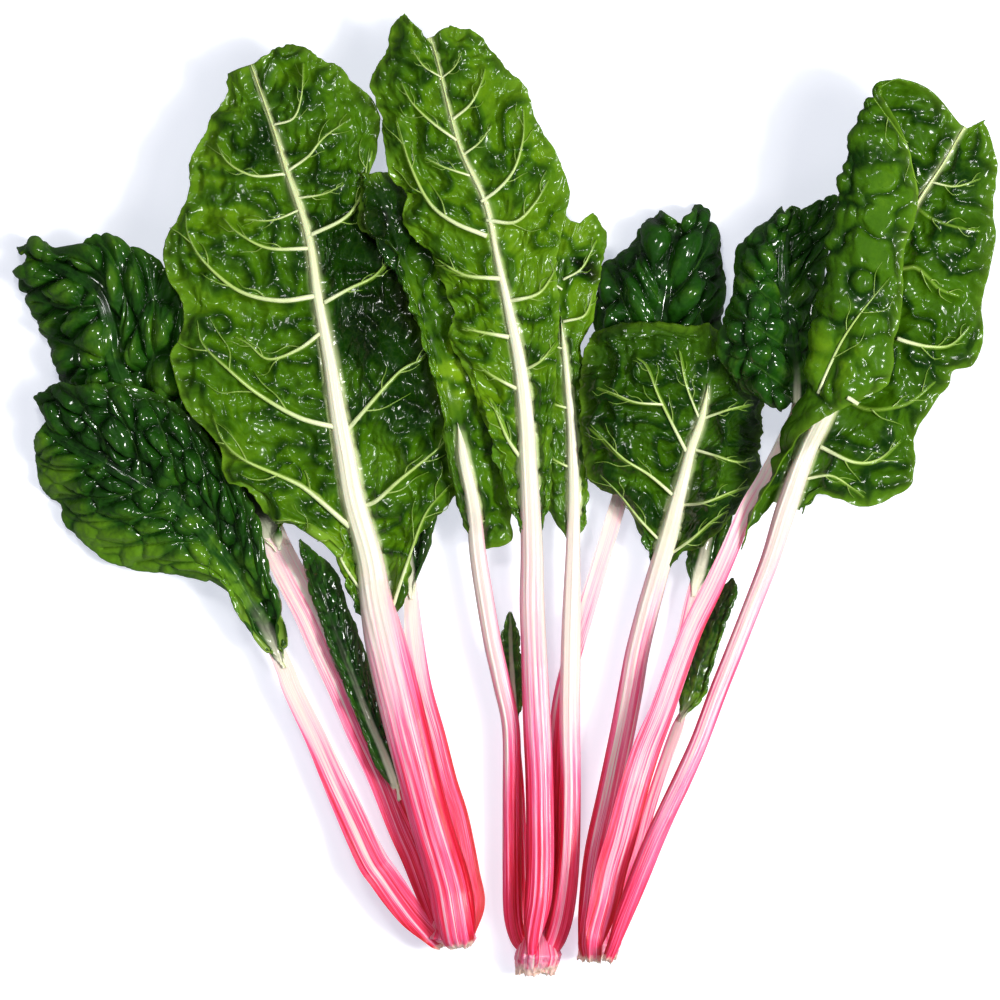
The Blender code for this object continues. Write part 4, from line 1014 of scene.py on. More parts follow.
def kept_above(net, off_rib, tops):
    """The fine net lifted gently where it would sink into what lies below it."""
    need = tops[table_cells(net, FINE_CELL)] + FINE_GAP - net[..., 2]
    need = np.maximum(need, 0) * np.clip(off_rib / FREE_OF_RIB, 0, 1)
    need = np.minimum(need, MOST_FINE_LIFT)
    lift = need
    for _ in range(LIFT_ROUNDS):
        lift = np.maximum(need, blurred(lift))
    net[..., 2] += blurred(blurred(lift))
    return net


def note_heights(points, tops):
    """Adds these points to the fine heights of what lies on the table."""
    rows, columns = table_cells(points, FINE_CELL)
    for row_shift in (0, 1):
        for column_shift in (0, 1):
            np.maximum.at(tops, (rows + row_shift, columns + column_shift), points[..., 2])


def tapered_base(net, middle, pointed):
    """The blade drawn in to a point where it starts on its stalk, and at its tip if pointed."""
    spine = net[:, middle:middle + 1]
    run = np.concatenate([[0], np.cumsum(np.linalg.norm(np.diff(spine[:, 0], axis=0), axis=-1))])
    t = np.clip(run / BASE_TAPER, 0, 1)
    width = BASE_SHARE + (1 - BASE_SHARE) * t * t * (3 - 2 * t)
    if pointed:
        width = width * np.clip((run[-1] - run) / (POINTED_TIP * run[-1]), LEAST_TIP, 1) ** 0.6
    return spine + (net - spine) * width[:, None, None]


def rib_slimming(inside):
    """How much narrower a midrib is than its solid, from 0 at the blade's start to 1 at the tip."""
    return 1 - RIB_SLIMMING * inside**1.2


def height_on_grid(y):
    """A y of the drawing grid in metres, up from the bunch's middle."""
    return (MIDDLE_Y - y) * STEP


def rib_shown(leaf, net, up_it, out_it, off_rib, half_rib):
    """How strongly the blade takes its rib's colour: beside the rib, or over it near the base."""
    look = LOOKS[leaf["name"]]
    if leaf["shows"] == "upper":
        near_base = np.exp(-((up_it / look.get("base_rib", BASE_RIB)) ** 1.5))
        return near_base * np.clip((half_rib - out_it) / (0.5 * half_rib), 0, 1)
    shown = np.exp(-off_rib / RIB_STAIN)
    if "rib_end" in look:
        end_y = height_on_grid(look["rib_end"])
        shown = shown * np.clip((end_y - net[..., 1]) / RIB_FADE, 0, 1)
    return shown


def veins_over(look, net, middle, rng):
    """A blade's side veins, how far each point is from them, and how much it is on one."""
    plan = net[..., :2]
    near, near_any, on_vein, thick = (np.zeros(plan.shape[:2]) for _ in range(4))
    veins = []
    for side, part in ((1, slice(0, middle)), (-1, slice(middle, None))):
        big, small = vein_lines(look, net, middle, side, rng)
        gap, strength, half = vein_field(plan[:, part], big, MAIN_FADE * STEP)
        gap_small, faint, _ = vein_field(plan[:, part], small, BRANCH_FADE * STEP)
        near[:, part] = gap
        near_any[:, part] = np.minimum(gap, gap_small)
        on_vein[:, part] = np.maximum(strength, BRANCH_STRENGTH * faint)
        thick[:, part] = half * strength
        veins += [(width, line, True) for width, line in big]
        veins += [(width, line, False) for width, line in small]
    return veins, near, near_any, on_vein, thick


def margin_waves(look, seed, net, up_it, across_it, margin):
    """How far the margin's frill lifts each point, in mm, and its ragged edge's sideways shift."""
    frill_at = np.stack([up_it / FRILL_LENGTH + 31.7 * (across_it > 0), across_it * 0 + seed % 60],
                        axis=-1)
    frill = rough_noise(seed + 80, frill_at) * np.exp(-margin / FRILL_REACH) * look["frill"]
    outward = rough_noise(seed + 90, frill_at * 1.3) * np.exp(-margin / RAGGED_REACH) * 1.7 * MM
    sideways = np.gradient(net, axis=1)
    sideways /= np.maximum(np.linalg.norm(sideways, axis=-1), 1e-12)[..., None]
    return frill, (outward * np.sign(across_it))[..., None] * sideways


def fine_blade(leaf, lift, tops):
    """The fine net of a blade, its side veins, and values at its points for its material."""
    look = LOOKS[leaf["name"]]
    seed = SEED + 7 * len(leaf["name"]) + sum(map(ord, leaf["name"]))
    rng = np.random.default_rng(seed)
    rows, left_cells, right_cells = look["fine"]
    upper = leaf["shows"] == "upper"
    net = blade_net(leaf, rows, left_cells, right_cells, rough=False)
    net[..., 2] += upsampled(lift, leaf, rows, left_cells, right_cells)
    strip_cells = UPPER_STRIP_CELLS if upper else UNDERSIDE_STRIP_CELLS
    net = with_strip(net, left_cells, strip_cells)
    middle = left_cells + strip_cells
    if not leaf.get("folded_lines") and look.get("tapered", True):
        net = tapered_base(net, middle, look.get("pointed"))
    up_it, across_it, run = flat_coordinates(net, middle)
    normals = surface_normals(net)
    to_upper = normals if upper else -normals

    plan = net[..., :2]
    veins, near, near_any, on_vein, thick = veins_over(look, net, middle, rng)
    half_rib = spine_stations(leaf, STALK_ROWS, rows)[STALK_ROWS:, 3][:, None] / 2
    if not upper:
        half_rib = half_rib * rib_slimming(np.linspace(0, 1, rows + 1))[:, None]
    off_rib = np.abs(across_it) - (0.0 if upper else half_rib)
    off_rib = np.maximum(off_rib, 0)
    margin = np.minimum(run, run[:, -1:] - run)
    margin = np.minimum(margin, (up_it[-1:, middle] - up_it[:, middle])[:, None] + 0.2 * MM)

    out_size, up_size, height = look["pucker"]
    out_it = np.abs(across_it)
    cells = np.stack([(up_it - BLISTER_SLANT * out_it) / (up_size * MM) + 17.3 * (across_it > 0),
                      out_it / (out_size * MM)], axis=-1)
    wobble = np.stack([noise_grid(seed + 50, cells), noise_grid(seed + 60, cells)], axis=-1)
    blister = domed(blister_cells(seed, cells + 0.30 * wobble))
    dimple = domed(blister_cells(seed + 1, cells * DIMPLE_SCALE + 0.5 * wobble))
    calm = np.tanh(near / CALM_BY_VEIN) * np.tanh(off_rib / CALM_BY_RIB)
    swell = np.tanh(near / SWELL_BY_VEIN) * np.tanh(off_rib / SWELL_BY_VEIN)
    edge_calm = np.tanh(margin / CALM_BY_MARGIN)
    lumps = rough_noise(seed + 70, cells * np.array([up_size, out_size]) / LUMP_SIZE)
    bulge = look["swell"] * (swell - 0.4) * edge_calm * np.tanh(off_rib / CALM_BY_RIB)
    # The strongly darker of these patches are painted shadow.
    patches = patch_lightness_and_shade(leaf["name"], plan)
    calm = calm * np.exp(-1.6 * np.maximum(patches, 0))
    rolling = np.abs(noise_grid(seed + 30, plan / WIDE_FOLD + 0.35 * wobble))
    rolling = rolling + 0.28 * np.abs(noise_grid(seed + 31, plan / NARROW_FOLD + 0.35 * wobble))
    relief = blister - 0.62 if upper else 0.25 * (blister - 0.62) + 1.35 * (rolling - 0.40)
    bulge = bulge + height * relief * calm * (0.3 + 0.7 * edge_calm)
    bulge = bulge + 0.20 * height * (dimple - 0.5) * np.tanh(near_any / (1.2 * MM)) * calm
    bulge = bulge + look.get("lumps", DEFAULT_LUMPS) * lumps * np.tanh(off_rib / LUMPS_BY_RIB)
    bulge = bulge - 0.5 * np.exp(-(near_any / (0.9 * MM)) ** 2) * calm
    if upper:
        over_rib = out_it < half_rib + 1.0 * MM
        bulge = np.where(over_rib, np.maximum(bulge, -0.3), bulge)
        bulge = bulge - 1.2 * on_vein * (1 - over_rib)
    proud = 0.0 if upper else np.minimum(thick / (1.0 * MM), 1.0) * 0.9

    frill, ragged = margin_waves(look, seed, net, up_it, across_it, margin)
    shift = (bulge - proud)[..., None] * to_upper * MM
    shift[..., 2] += frill * MM
    shift += ragged
    made = kept_above(net + shift, np.abs(across_it) - half_rib, tops)
    made[..., 2] = made[..., 2].clip(FINE_THICKNESS * 0.7, CAD_BOX[1][2] + 0.5 * MM)
    values = {
        "vein": on_vein,
        "thick": np.minimum(thick / (1.2 * MM), 1.0),
        "rib": rib_shown(leaf, net, up_it, out_it, off_rib, half_rib),
        "rim": np.exp(-margin / RIM_WIDTH),
        # swell also paints shade into the colour: darker in the hollows and creases, lighter on the
        # tops.
        "swell": (0.75 * blister + 0.25 * dimple if upper else np.minimum(2.2 * rolling, 1.0)),
        # tint_and_shade carries the painted shadow of the darker patches with the blade's own
        # lightness.
        "tint_and_shade": look["tint_and_shade"] + 0.08 * lumps + patches,
    }
    return made, values, veins


def lie_on(line, tree, heights):
    """Heights for a curve over a leaf, up to where it leaves the leaf or meets a fold."""
    found = []
    for x, y in line:
        near = [heights[index] for _, index, _ in tree.find_range((x, y, 0.0), VEIN_REACH)]
        if not near or (found and abs(max(near) - found[-1]) > VEIN_FOLD):
            break
        found.append(max(near))
    if len(found) < 4:
        return np.zeros(0)
    padded = np.pad(np.array(found), 1, mode="edge")
    return np.maximum((padded[:-2] + padded[1:-1] + padded[2:]) / 3, np.array(found) - 0.3 * MM)


def vein_tube(line, heights, width):
    """Rings of a tapering vein half sunk in the leaf, and each point's share of its length."""
    count = len(heights)
    share = np.linspace(0, count / len(line), count)
    half = 0.5 * (width * (1 - share) ** 0.75 + VEIN_END * share)
    ahead = np.gradient(line[:count], axis=0)
    ahead /= np.maximum(np.linalg.norm(ahead, axis=1), 1e-12)[:, None]
    beside = np.stack([-ahead[:, 1], ahead[:, 0]], axis=1)
    turns = np.linspace(0, 2 * math.pi, VEIN_AROUND, endpoint=False)
    rings = np.empty((count, VEIN_AROUND, 3))
    out = np.cos(turns)[:, None] * half[:, None, None]
    rings[..., :2] = line[:count, None] + beside[:, None] * out
    rings[..., 2] = heights[:, None] + half[:, None] * (0.85 * np.sin(turns) + 0.15)
    return rings, np.repeat(share[:, None], VEIN_AROUND, axis=1)


def add_piece(name, points, faces, values, looks, nodes):
    """A smooth-shaded mesh with values at its points, riding on the bunch's one body."""
    mesh = bpy.data.meshes.new(name)
    mesh.from_pydata(points, [], faces)
    for key, column in values.items():
        layer = mesh.attributes.new(key, "FLOAT", "POINT")
        layer.data.foreach_set("value", np.asarray(column, np.float32).ravel())
    for look in looks:
        mesh.materials.append(look)
    mesh.shade_smooth()
    piece = bpy.data.objects.new(name, mesh)
    bpy.context.scene.collection.objects.link(piece)
    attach(piece, "root")
    if nodes:
        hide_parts(*nodes)
    return piece


def grid_faces(rows, columns, around=False):
    """Four-sided faces of a grid of points by rows; around joins its last column to its first."""
    index = np.arange(rows * columns).reshape(rows, columns)
    beside = np.roll(index, -1, axis=1)
    if not around:
        index, beside = index[:, :-1], beside[:, :-1]
    return np.stack([index[:-1], beside[:-1], beside[1:], index[1:]], axis=-1).reshape(-1, 4)


def closed_faces(rings, around, first=0):
    """Faces of a tube of rings with both ends closed, whose points count up from the first."""
    last = first + (rings - 1) * around
    faces = [tuple(face + first) for face in grid_faces(rings, around, around=True)]
    return faces + [tuple(range(first, first + around))[::-1], tuple(range(last, last + around))]


def add_blade(leaf, lift, looks, tops):
    """The fine blade of a leaf in place of its solid, and its side veins if its underside shows."""
    net, values, veins = fine_blade(leaf, lift, tops)
    faces = grid_faces(*net.shape[:2])
    order = [looks["upper"], looks["underside"]]
    if leaf["shows"] == "underside":
        order.reverse()
    if LOOKS[leaf["name"]].get("one_sided"):
        order[1] = order[0]
    blade = add_piece("leaf_" + leaf["name"], net.reshape(-1, 3), faces, values, order,
                      ["blade_" + leaf["name"]])
    shell = blade.modifiers.new("Thickness", "SOLIDIFY")
    shell.thickness = FINE_THICKNESS
    shell.offset = 0.0
    shell.material_offset = 1
    note_heights(net, tops)
    if leaf["shows"] == "underside":
        add_veins(leaf, net, veins, looks["vein"])


def add_veins(leaf, net, veins, look):
    """The raised side veins of a leaf that lies with its underside up, as one piece."""
    flat = net.reshape(-1, 3)
    tree = kdtree.KDTree(len(flat))
    for index, (x, y, _) in enumerate(flat):
        tree.insert((x, y, 0.0), index)
    tree.balance()
    points, faces, paleness, total = [], [], [], 0
    for width, line, main_vein in veins:
        heights = lie_on(line, tree, flat[:, 2] + FINE_THICKNESS / 2)
        if not len(heights):
            continue
        rings, share = vein_tube(line, heights, width)
        faces += closed_faces(len(rings), VEIN_AROUND, total)
        points.append(rings.reshape(-1, 3))
        paleness.append(((1 - share) if main_vein else 0.30 * (1 - share)).ravel())
        total += len(points[-1])
    if not points:
        return
    add_piece("veins_" + leaf["name"], np.concatenate(points), faces,
              {"pale": np.concatenate(paleness)}, [look], [])


def stalk_ring(turns, width, height, ridge_phase, ridged):
    """Side and rise of a stalk's section, round and ridged above, and how far it is in a groove."""
    side = np.cos(turns)
    rise = np.sin(turns)
    side = np.sign(side) * np.abs(side) ** 0.85 * 0.5
    ridges = np.cos(side * width / RIDGE_PITCH * 2 * math.pi + ridge_phase)
    ridges = ridges + 0.6 * np.cos(side * width / RIDGE_PITCH * 3.7 * math.pi + 2.1 * ridge_phase)
    depth = ridged * np.minimum(RIDGE_DEPTH, width * 0.02) * ridges * np.abs(rise)
    top = height * np.abs(rise) ** 0.8 + depth
    return side * width, np.where(rise > 0, top, -RIB_SINK), -ridged * ridges / 1.6


def stalk_path(leaf, lift):
    """Fine stations of a stalk with its tail, and each one's share of the solid's own length."""
    coarse = spine_shares(leaf, STALK_ROWS, leaf["rows"])
    tail = TAILS.get(leaf["name"], [])
    curve, length = dense_curve(on_table(tail + leaf["spine"]))
    shares = np.linspace(0, 1, STALK_FINE_ROWS + 1)
    stations = np.stack([np.interp(shares, length, column) for column in curve.T], axis=1)
    first = length[len(tail) * SPAN_POINTS]
    own = (shares - first) / (1 - first)
    stations[:, 2] += np.interp(own, coarse, lift)
    return stations, own


def torn_end(ring, back, rng_seed):
    """Rings from the stalk's end inwards over its torn, pitted cut."""
    centre = ring.mean(axis=0)
    rings = []
    for inward in TORN_RINGS:
        inner = centre + (ring - centre) * inward
        pits = rough_noise(rng_seed, inner[:, [0, 2]] / TORN_PITS)
        inner[:, :2] += back * ((0.6 + 1.1 * pits) * MM)[:, None]
        rings.append(inner)
    return rings


def ended_rib(name, stations, own):
    """The stations up to where the midrib is hidden, drawn in towards its end."""
    if "rib_end" not in LOOKS[name]:
        return stations, own
    end_y = height_on_grid(LOOKS[name]["rib_end"])
    gone = np.clip((stations[:, 1] - end_y) / RIB_FADE + 1, 0, 1)
    keep = int(np.argmax(gone >= 1)) + 1
    stations, own, gone = stations[:keep], own[:keep], gone[:keep]
    stations[:, 3] *= np.maximum(1 - gone**1.5, 0.08)
    return stations, own


def fray(rings, ahead, seed, turns):
    """The first rings of a stalk pulled back and forth along it, most at the very end."""
    pull = rough_noise(seed, np.stack([turns * 3.1, turns * 0 + 0.5], axis=-1))
    for row in range(FRAYED_ROWS):
        reach = (1 - row / FRAYED_ROWS) ** 2
        rings[row][:, :2] -= ahead * ((pull * 1.8 - 0.5) * MM * reach)[:, None]


def add_stalk(leaf, lift, look, tops):
    """The stalk and midrib as one fine loft, its flat face sunk a little into the blade."""
    name = leaf["name"]
    stations, own = ended_rib(name, *stalk_path(leaf, lift))
    start = spine_shares(leaf, STALK_ROWS, leaf["rows"])[STALK_ROWS]
    inside = np.clip((own - start) / (1 - start), 0, 1)
    if leaf["shows"] == "underside":
        stations[:, 3] *= rib_slimming(inside)
    normals = side_normals(stations)
    run = np.concatenate([[0], np.cumsum(np.linalg.norm(np.diff(stations[:, :2], axis=0), axis=1))])
    up = 1.0 if leaf["shows"] == "underside" else -1.0
    phase = float(sum(map(ord, name)) % 17)
    turns = np.linspace(0, 2 * math.pi, STALK_AROUND, endpoint=False)
    stops, red_side = REDNESS[name]
    stop_at, stop_red = zip(*stops)
    redness = np.interp(own, stop_at, stop_red)
    rings, over_mm, groove, level, streak = [], [], [], [], []
    for row, (x, y, z, width) in enumerate(stations):
        height = stalk_height(width) * (1 - 0.45 * inside[row])
        swing = 0.6 * math.sin(run[row] / RIDGE_WANDER + phase)
        side, rise, deep = stalk_ring(turns, width, height, phase + swing, 1 - 0.8 * inside[row])
        flat = z + up * (BLADE_THICKNESS / 2 + RIB_GAP)
        ring = np.stack([x + normals[row, 0] * side, y + normals[row, 1] * side, flat + up * rise],
                        axis=1)
        ring[:, 2] = np.maximum(ring[:, 2], 0.1 * MM)
        rings.append(ring)
        share = side / (width / 2)
        line = np.clip((share * red_side - 0.55) / 0.35, 0, 1) * 0.5 if red_side else 0 * share
        amount = min(1.0, redness[row] * 2.5)
        level.append(redness[row] + line * max(amount, 0.35 * (own[row] < start + 0.05)))
        streak.append(np.full(len(turns), amount))
        over_mm.append(side / MM + 40 * phase)
        groove.append(deep)
    ahead = np.array([normals[0, 1], -normals[0, 0]])
    fray(rings, ahead, SEED + int(phase), turns)
    inner = torn_end(rings[0], ahead, SEED + int(phase))[::-1]
    count = len(inner)
    points = np.concatenate(inner + rings)
    faces = closed_faces(count + len(rings), STALK_AROUND)
    if up < 0:
        faces = [face[::-1] for face in faces]
    fresh = np.clip(1 - run / TORN_REACH, 0, 1)
    values = {
        "across": np.concatenate([over_mm[0]] * count + over_mm),
        "along": np.repeat(np.concatenate([np.zeros(count), run]) / MM, STALK_AROUND),
        "level": np.concatenate([level[0]] * count + level),
        "streak": np.concatenate([streak[0]] * count + streak),
        "groove": np.concatenate([groove[0]] * count + groove),
        "torn": np.repeat(np.concatenate([np.full(count, TORN_COLOUR), fresh]), STALK_AROUND),
        "in_blade": np.repeat(np.concatenate([np.zeros(count), inside]), STALK_AROUND),
    }
    add_piece("rib_" + name, points, faces, values, [look], ["stalk_" + name])
    note_heights(np.array(rings), tops)


def add_crown(crown, look):
    """A stub of short, joined stalk bases with ridged sides and a torn, ragged cut face."""
    seed = SEED + len(crown["name"])
    around = CROWN_AROUND
    given = np.array(crown["rings"], float)
    x, y, width, height = given[0]
    given[-1, 2] *= CROWN_CUT
    first = [x, y - CROWN_START["up"], width * CROWN_START["width"],
             height * CROWN_START["height"]]
    given = np.concatenate([[first], given])
    share = np.linspace(0, 1, CROWN_ROWS + 1)
    sizes = np.stack([np.interp(share, np.linspace(0, 1, len(given)), column)
                      for column in given.T], axis=1)
    turns = 2 * math.pi * (np.arange(around) + 0.5) / around
    rings, torn, depth = [], [], []
    for row, (x, y, width, height) in enumerate(sizes):
        centre = on_table([(x, y, 0.0)])[0]
        rise = (np.maximum(np.sin(turns), -CROWN_FLAT) + CROWN_FLAT) / (1 + CROWN_FLAT)
        where = np.stack([turns * 4.0, np.full(around, share[row] * 3 + 7.3)], axis=-1)
        lumps = rough_noise(seed, where)
        shrink = 0.97 - 0.12 * np.abs(lumps)
        ragged = 3.0 * MM * (rough_noise(SEED + 5, where * 1.3) - 0.4) * share[row] ** 3
        rings.append(np.stack([centre[0] + np.cos(turns) * width * STEP / 2 * shrink,
                               centre[1] - np.minimum(ragged, 0.0),
                               rise * height * MM * shrink], axis=1))
        torn.append(np.full(around, 1.1 * max(0.0, share[row] - 0.35) / 0.65))
        depth.append(lumps)
    for inner in torn_end(rings[-1], np.array([0.0, 1.0]), seed):
        rings.append(inner)
        torn.append(np.full(around, TORN_COLOUR))
        depth.append(np.zeros(around))
    count = len(rings)
    values = {
        "across": np.tile(turns * 14, count),
        "along": np.repeat(np.arange(count) * 0.4, around),
        "level": np.full(count * around, CROWN_REDNESS),
        "streak": np.ones(count * around),
        "groove": np.concatenate(depth),
        "torn": np.concatenate(torn),
        "in_blade": np.zeros(count * around),
    }
    add_piece("cut_" + crown["name"], np.concatenate(rings), closed_faces(count, around), values,
              [look], [crown["name"]])


def new_look(name):
    look = bpy.data.materials.new(name)
    look.use_nodes = True
    return look, look.node_tree, look.node_tree.nodes["Principled BSDF"]


def feed(tree, socket, value):
    """A socket takes either another socket's output or a plain value."""
    if isinstance(value, bpy.types.NodeSocket):
        tree.links.new(value, socket)
    elif isinstance(value, tuple) and len(value) == 3 and socket.type == "RGBA":
        socket.default_value = (*value, 1.0)
    else:
        socket.default_value = value


def attribute(tree, name):
    node = tree.nodes.new("ShaderNodeAttribute")
    node.attribute_name = name
    return node.outputs["Fac"]


def calc(tree, operation, a, b=0.0, c=0.0):
    node = tree.nodes.new("ShaderNodeMath")
    node.operation = operation
    for socket, value in zip(node.inputs, (a, b, c)):
        feed(tree, socket, value)
    return node.outputs[0]


def centred(tree, value, amount):
    """A 0 to 1 value turned into one that swings about 0, by this much."""
    return calc(tree, "MULTIPLY", calc(tree, "SUBTRACT", value, 0.5), amount)


def summed(tree, *values):
    total = values[0]
    for value in values[1:]:
        total = calc(tree, "ADD", total, value)
    return total


def blend(tree, share, a, b):
    node = tree.nodes.new("ShaderNodeMix")
    node.data_type = "RGBA"
    feed(tree, node.inputs["Factor"], share)
    feed(tree, node.inputs[6], a)
    feed(tree, node.inputs[7], b)
    return node.outputs[2]


def ramp(tree, value, low, high):
    """A smooth climb from 0 at low to 1 at high."""
    node = tree.nodes.new("ShaderNodeMapRange")
    node.interpolation_type = "SMOOTHSTEP"
    feed(tree, node.inputs["Value"], value)
    node.inputs["From Min"].default_value = low
    node.inputs["From Max"].default_value = high
    return node.outputs["Result"]


def place(tree):
    return tree.nodes.new("ShaderNodeTexCoord").outputs["Object"]


def noise(tree, vector, scale, detail=3.0, roughness=0.55):
    node = tree.nodes.new("ShaderNodeTexNoise")
    feed(tree, node.inputs["Vector"], vector)
    node.inputs["Scale"].default_value = scale
    node.inputs["Detail"].default_value = detail
    node.inputs["Roughness"].default_value = roughness
    return node.outputs["Fac"]


def mesh_of_veins(tree, vector, scale):
    """The fine net of the smallest veins: near 0 on a vein, growing away from it."""
    node = tree.nodes.new("ShaderNodeTexVoronoi")
    node.feature = "DISTANCE_TO_EDGE"
    feed(tree, node.inputs["Vector"], vector)
    node.inputs["Scale"].default_value = scale
    return node.outputs["Distance"]


def in_steps(tree, value, colour, steps):
    """A colour that turns into the next one over each step's stretch of the value."""
    for low, high, following in steps:
        colour = blend(tree, ramp(tree, value, low, high), colour, following)
    return colour


def painted(tree, colour, share, strength, over):
    """A colour laid over another as strongly as the share times the strength."""
    return blend(tree, calc(tree, "MULTIPLY", share, strength), colour, over)


def set_sockets(shader, **values):
    """Sets the shader's own sockets, each named with underscores for its spaces."""
    for name, value in values.items():
        shader.inputs[name.replace("_", " ")].default_value = value


def bump(tree, shader, height, strength, distance):
    node = tree.nodes.new("ShaderNodeBump")
    node.inputs["Strength"].default_value = strength
    node.inputs["Distance"].default_value = distance
    feed(tree, node.inputs["Height"], height)
    tree.links.new(node.outputs["Normal"], shader.inputs["Normal"])


# Noise scales, as cells in a metre, and the colours of blades and stalks.
PATCH_SCALE = 38.0
GRAIN_SCALE = 420.0
NET_SCALE = 300.0
WRINKLE_SCALE = 115.0
VEIN_GRAIN_SCALE = 260.0
TORN_SCALE = 300.0
# The near black of the deepest painted shade, in hollows and the darkest shadow patches.
BLADE_SHADE_BLACK = (0.0008, 0.004, 0.0004)
# Blade greens: deep is painted shade in hollows and shadow, and light is partly painted light on
# blister tops.
UPPER_TONES = dict(
    deep=(0.0008, 0.009, 0.0008), middle=(0.010, 0.058, 0.0030), light=(0.095, 0.225, 0.007),
    painted_shade_by_swell=0.55, offset=0.26, net=0.05, net_colour=(0.03, 0.10, 0.008), rim=0.35,
    rim_colour=(0.07, 0.19, 0.012), veins=0.30, vein_colour=(0.05, 0.14, 0.014), thick=0.35,
    thick_colour=(0.10, 0.20, 0.03), rib_colour=(0.80, 0.78, 0.60), roughness=0.42, coat=0.90,
    coat_roughness=0.12, bump=0.45,
)
UNDERSIDE_TONES = dict(
    deep=(0.004, 0.026, 0.0005), middle=(0.042, 0.124, 0.0014), light=(0.180, 0.330, 0.006),
    painted_shade_by_swell=0.55, offset=0.46, net=0.03, net_colour=(0.15, 0.28, 0.018), rim=0.45,
    rim_colour=(0.16, 0.31, 0.016), veins=0.50, vein_colour=(0.20, 0.36, 0.030), thick=0.60,
    thick_colour=(0.42, 0.54, 0.14), rib_colour=(0.62, 0.68, 0.36), roughness=0.45, coat=0.50,
    coat_roughness=0.18, bump=0.20,
)
VEIN_GREEN = (0.11, 0.22, 0.016)
VEIN_STEPS = [(0.0, 0.5, (0.36, 0.50, 0.12)), (0.45, 1.0, (0.68, 0.74, 0.44))]
STALK_CREAM = (0.76, 0.67, 0.60)
STALK_STEPS = [(0.02, 0.28, (0.84, 0.46, 0.54)), (0.20, 0.48, (0.84, 0.12, 0.29)),
               (0.42, 0.74, (0.78, 0.026, 0.09)), (0.72, 1.05, (0.52, 0.005, 0.014))]
RIB_CREAM = (0.78, 0.76, 0.58)
RIB_STEPS = [(0.35, 1.0, (0.50, 0.60, 0.22))]
TORN_STEPS = [(0.35, 0.95, (0.90, 0.62, 0.52)), (1.15, 1.7, (0.85, 0.70, 0.50))]
TORN_TAN = (0.38, 0.17, 0.06)


def blade_look(name, tones):
    """Wet savoyed leaf: painted shade in creases, painted light on blisters, lighter margin, pale
    vein net.
    """
    look, tree, shader = new_look(name)
    vein, thick, rib = (attribute(tree, key) for key in ("vein", "thick", "rib"))
    rim, swell, tint_and_shade = (attribute(tree, key) for key in ("rim", "swell", "tint_and_shade"))
    at = place(tree)
    patches = noise(tree, at, PATCH_SCALE, 4.0)
    grain = noise(tree, at, GRAIN_SCALE, 3.0)
    net = mesh_of_veins(tree, at, NET_SCALE)
    # The share: painted shade and light from the relief, painted shadow patches, the blade's
    # lightness and random tone.
    share = summed(tree, calc(tree, "MULTIPLY", swell, tones["painted_shade_by_swell"]), tint_and_shade,
                   centred(tree, patches, 0.6), centred(tree, grain, 0.22), -tones["offset"])
    colour = in_steps(tree, share, BLADE_SHADE_BLACK, [
        (-1.0, 0.1, tones["deep"]), (0.0, 0.62, tones["middle"]), (0.45, 1.1, tones["light"])])
    on_net = calc(tree, "SUBTRACT", 1.0, ramp(tree, net, 0.0, 0.12))
    colour = painted(tree, colour, on_net, tones["net"], tones["net_colour"])
    colour = painted(tree, colour, rim, tones["rim"], tones["rim_colour"])
    colour = painted(tree, colour, ramp(tree, vein, 0.15, 0.9), tones["veins"],
                     tones["vein_colour"])
    colour = painted(tree, colour, ramp(tree, thick, 0.5, 1.0), tones["thick"],
                     tones["thick_colour"])
    colour = blend(tree, rib, colour, tones["rib_colour"])
    feed(tree, shader.inputs["Base Color"], colour)
    feed(tree, shader.inputs["Roughness"],
         calc(tree, "MULTIPLY_ADD", patches, 0.2, tones["roughness"] - 0.1))
    set_sockets(shader, Coat_Weight=tones["coat"], Coat_Roughness=tones["coat_roughness"],
                Specular_IOR_Level=0.06)
    wrinkles = noise(tree, at, WRINKLE_SCALE, 1.5)
    height = calc(tree, "MULTIPLY_ADD", ramp(tree, net, 0.0, 0.35), 0.12, wrinkles)
    bump(tree, shader, height, tones["bump"], 0.0022)
    return look


def vein_look(name):
    """Cream-green at a side vein's root, and leaf green where it runs out."""
    look, tree, shader = new_look(name)
    pale = attribute(tree, "pale")
    grain = noise(tree, place(tree), VEIN_GRAIN_SCALE, 2.0)
    share = summed(tree, pale, centred(tree, grain, 0.3))
    feed(tree, shader.inputs["Base Color"], in_steps(tree, share, VEIN_GREEN, VEIN_STEPS))
    set_sockets(shader, Roughness=0.38, Coat_Weight=0.2, Coat_Roughness=0.2)
    bump(tree, shader, grain, 0.2, 0.0004)
    return look


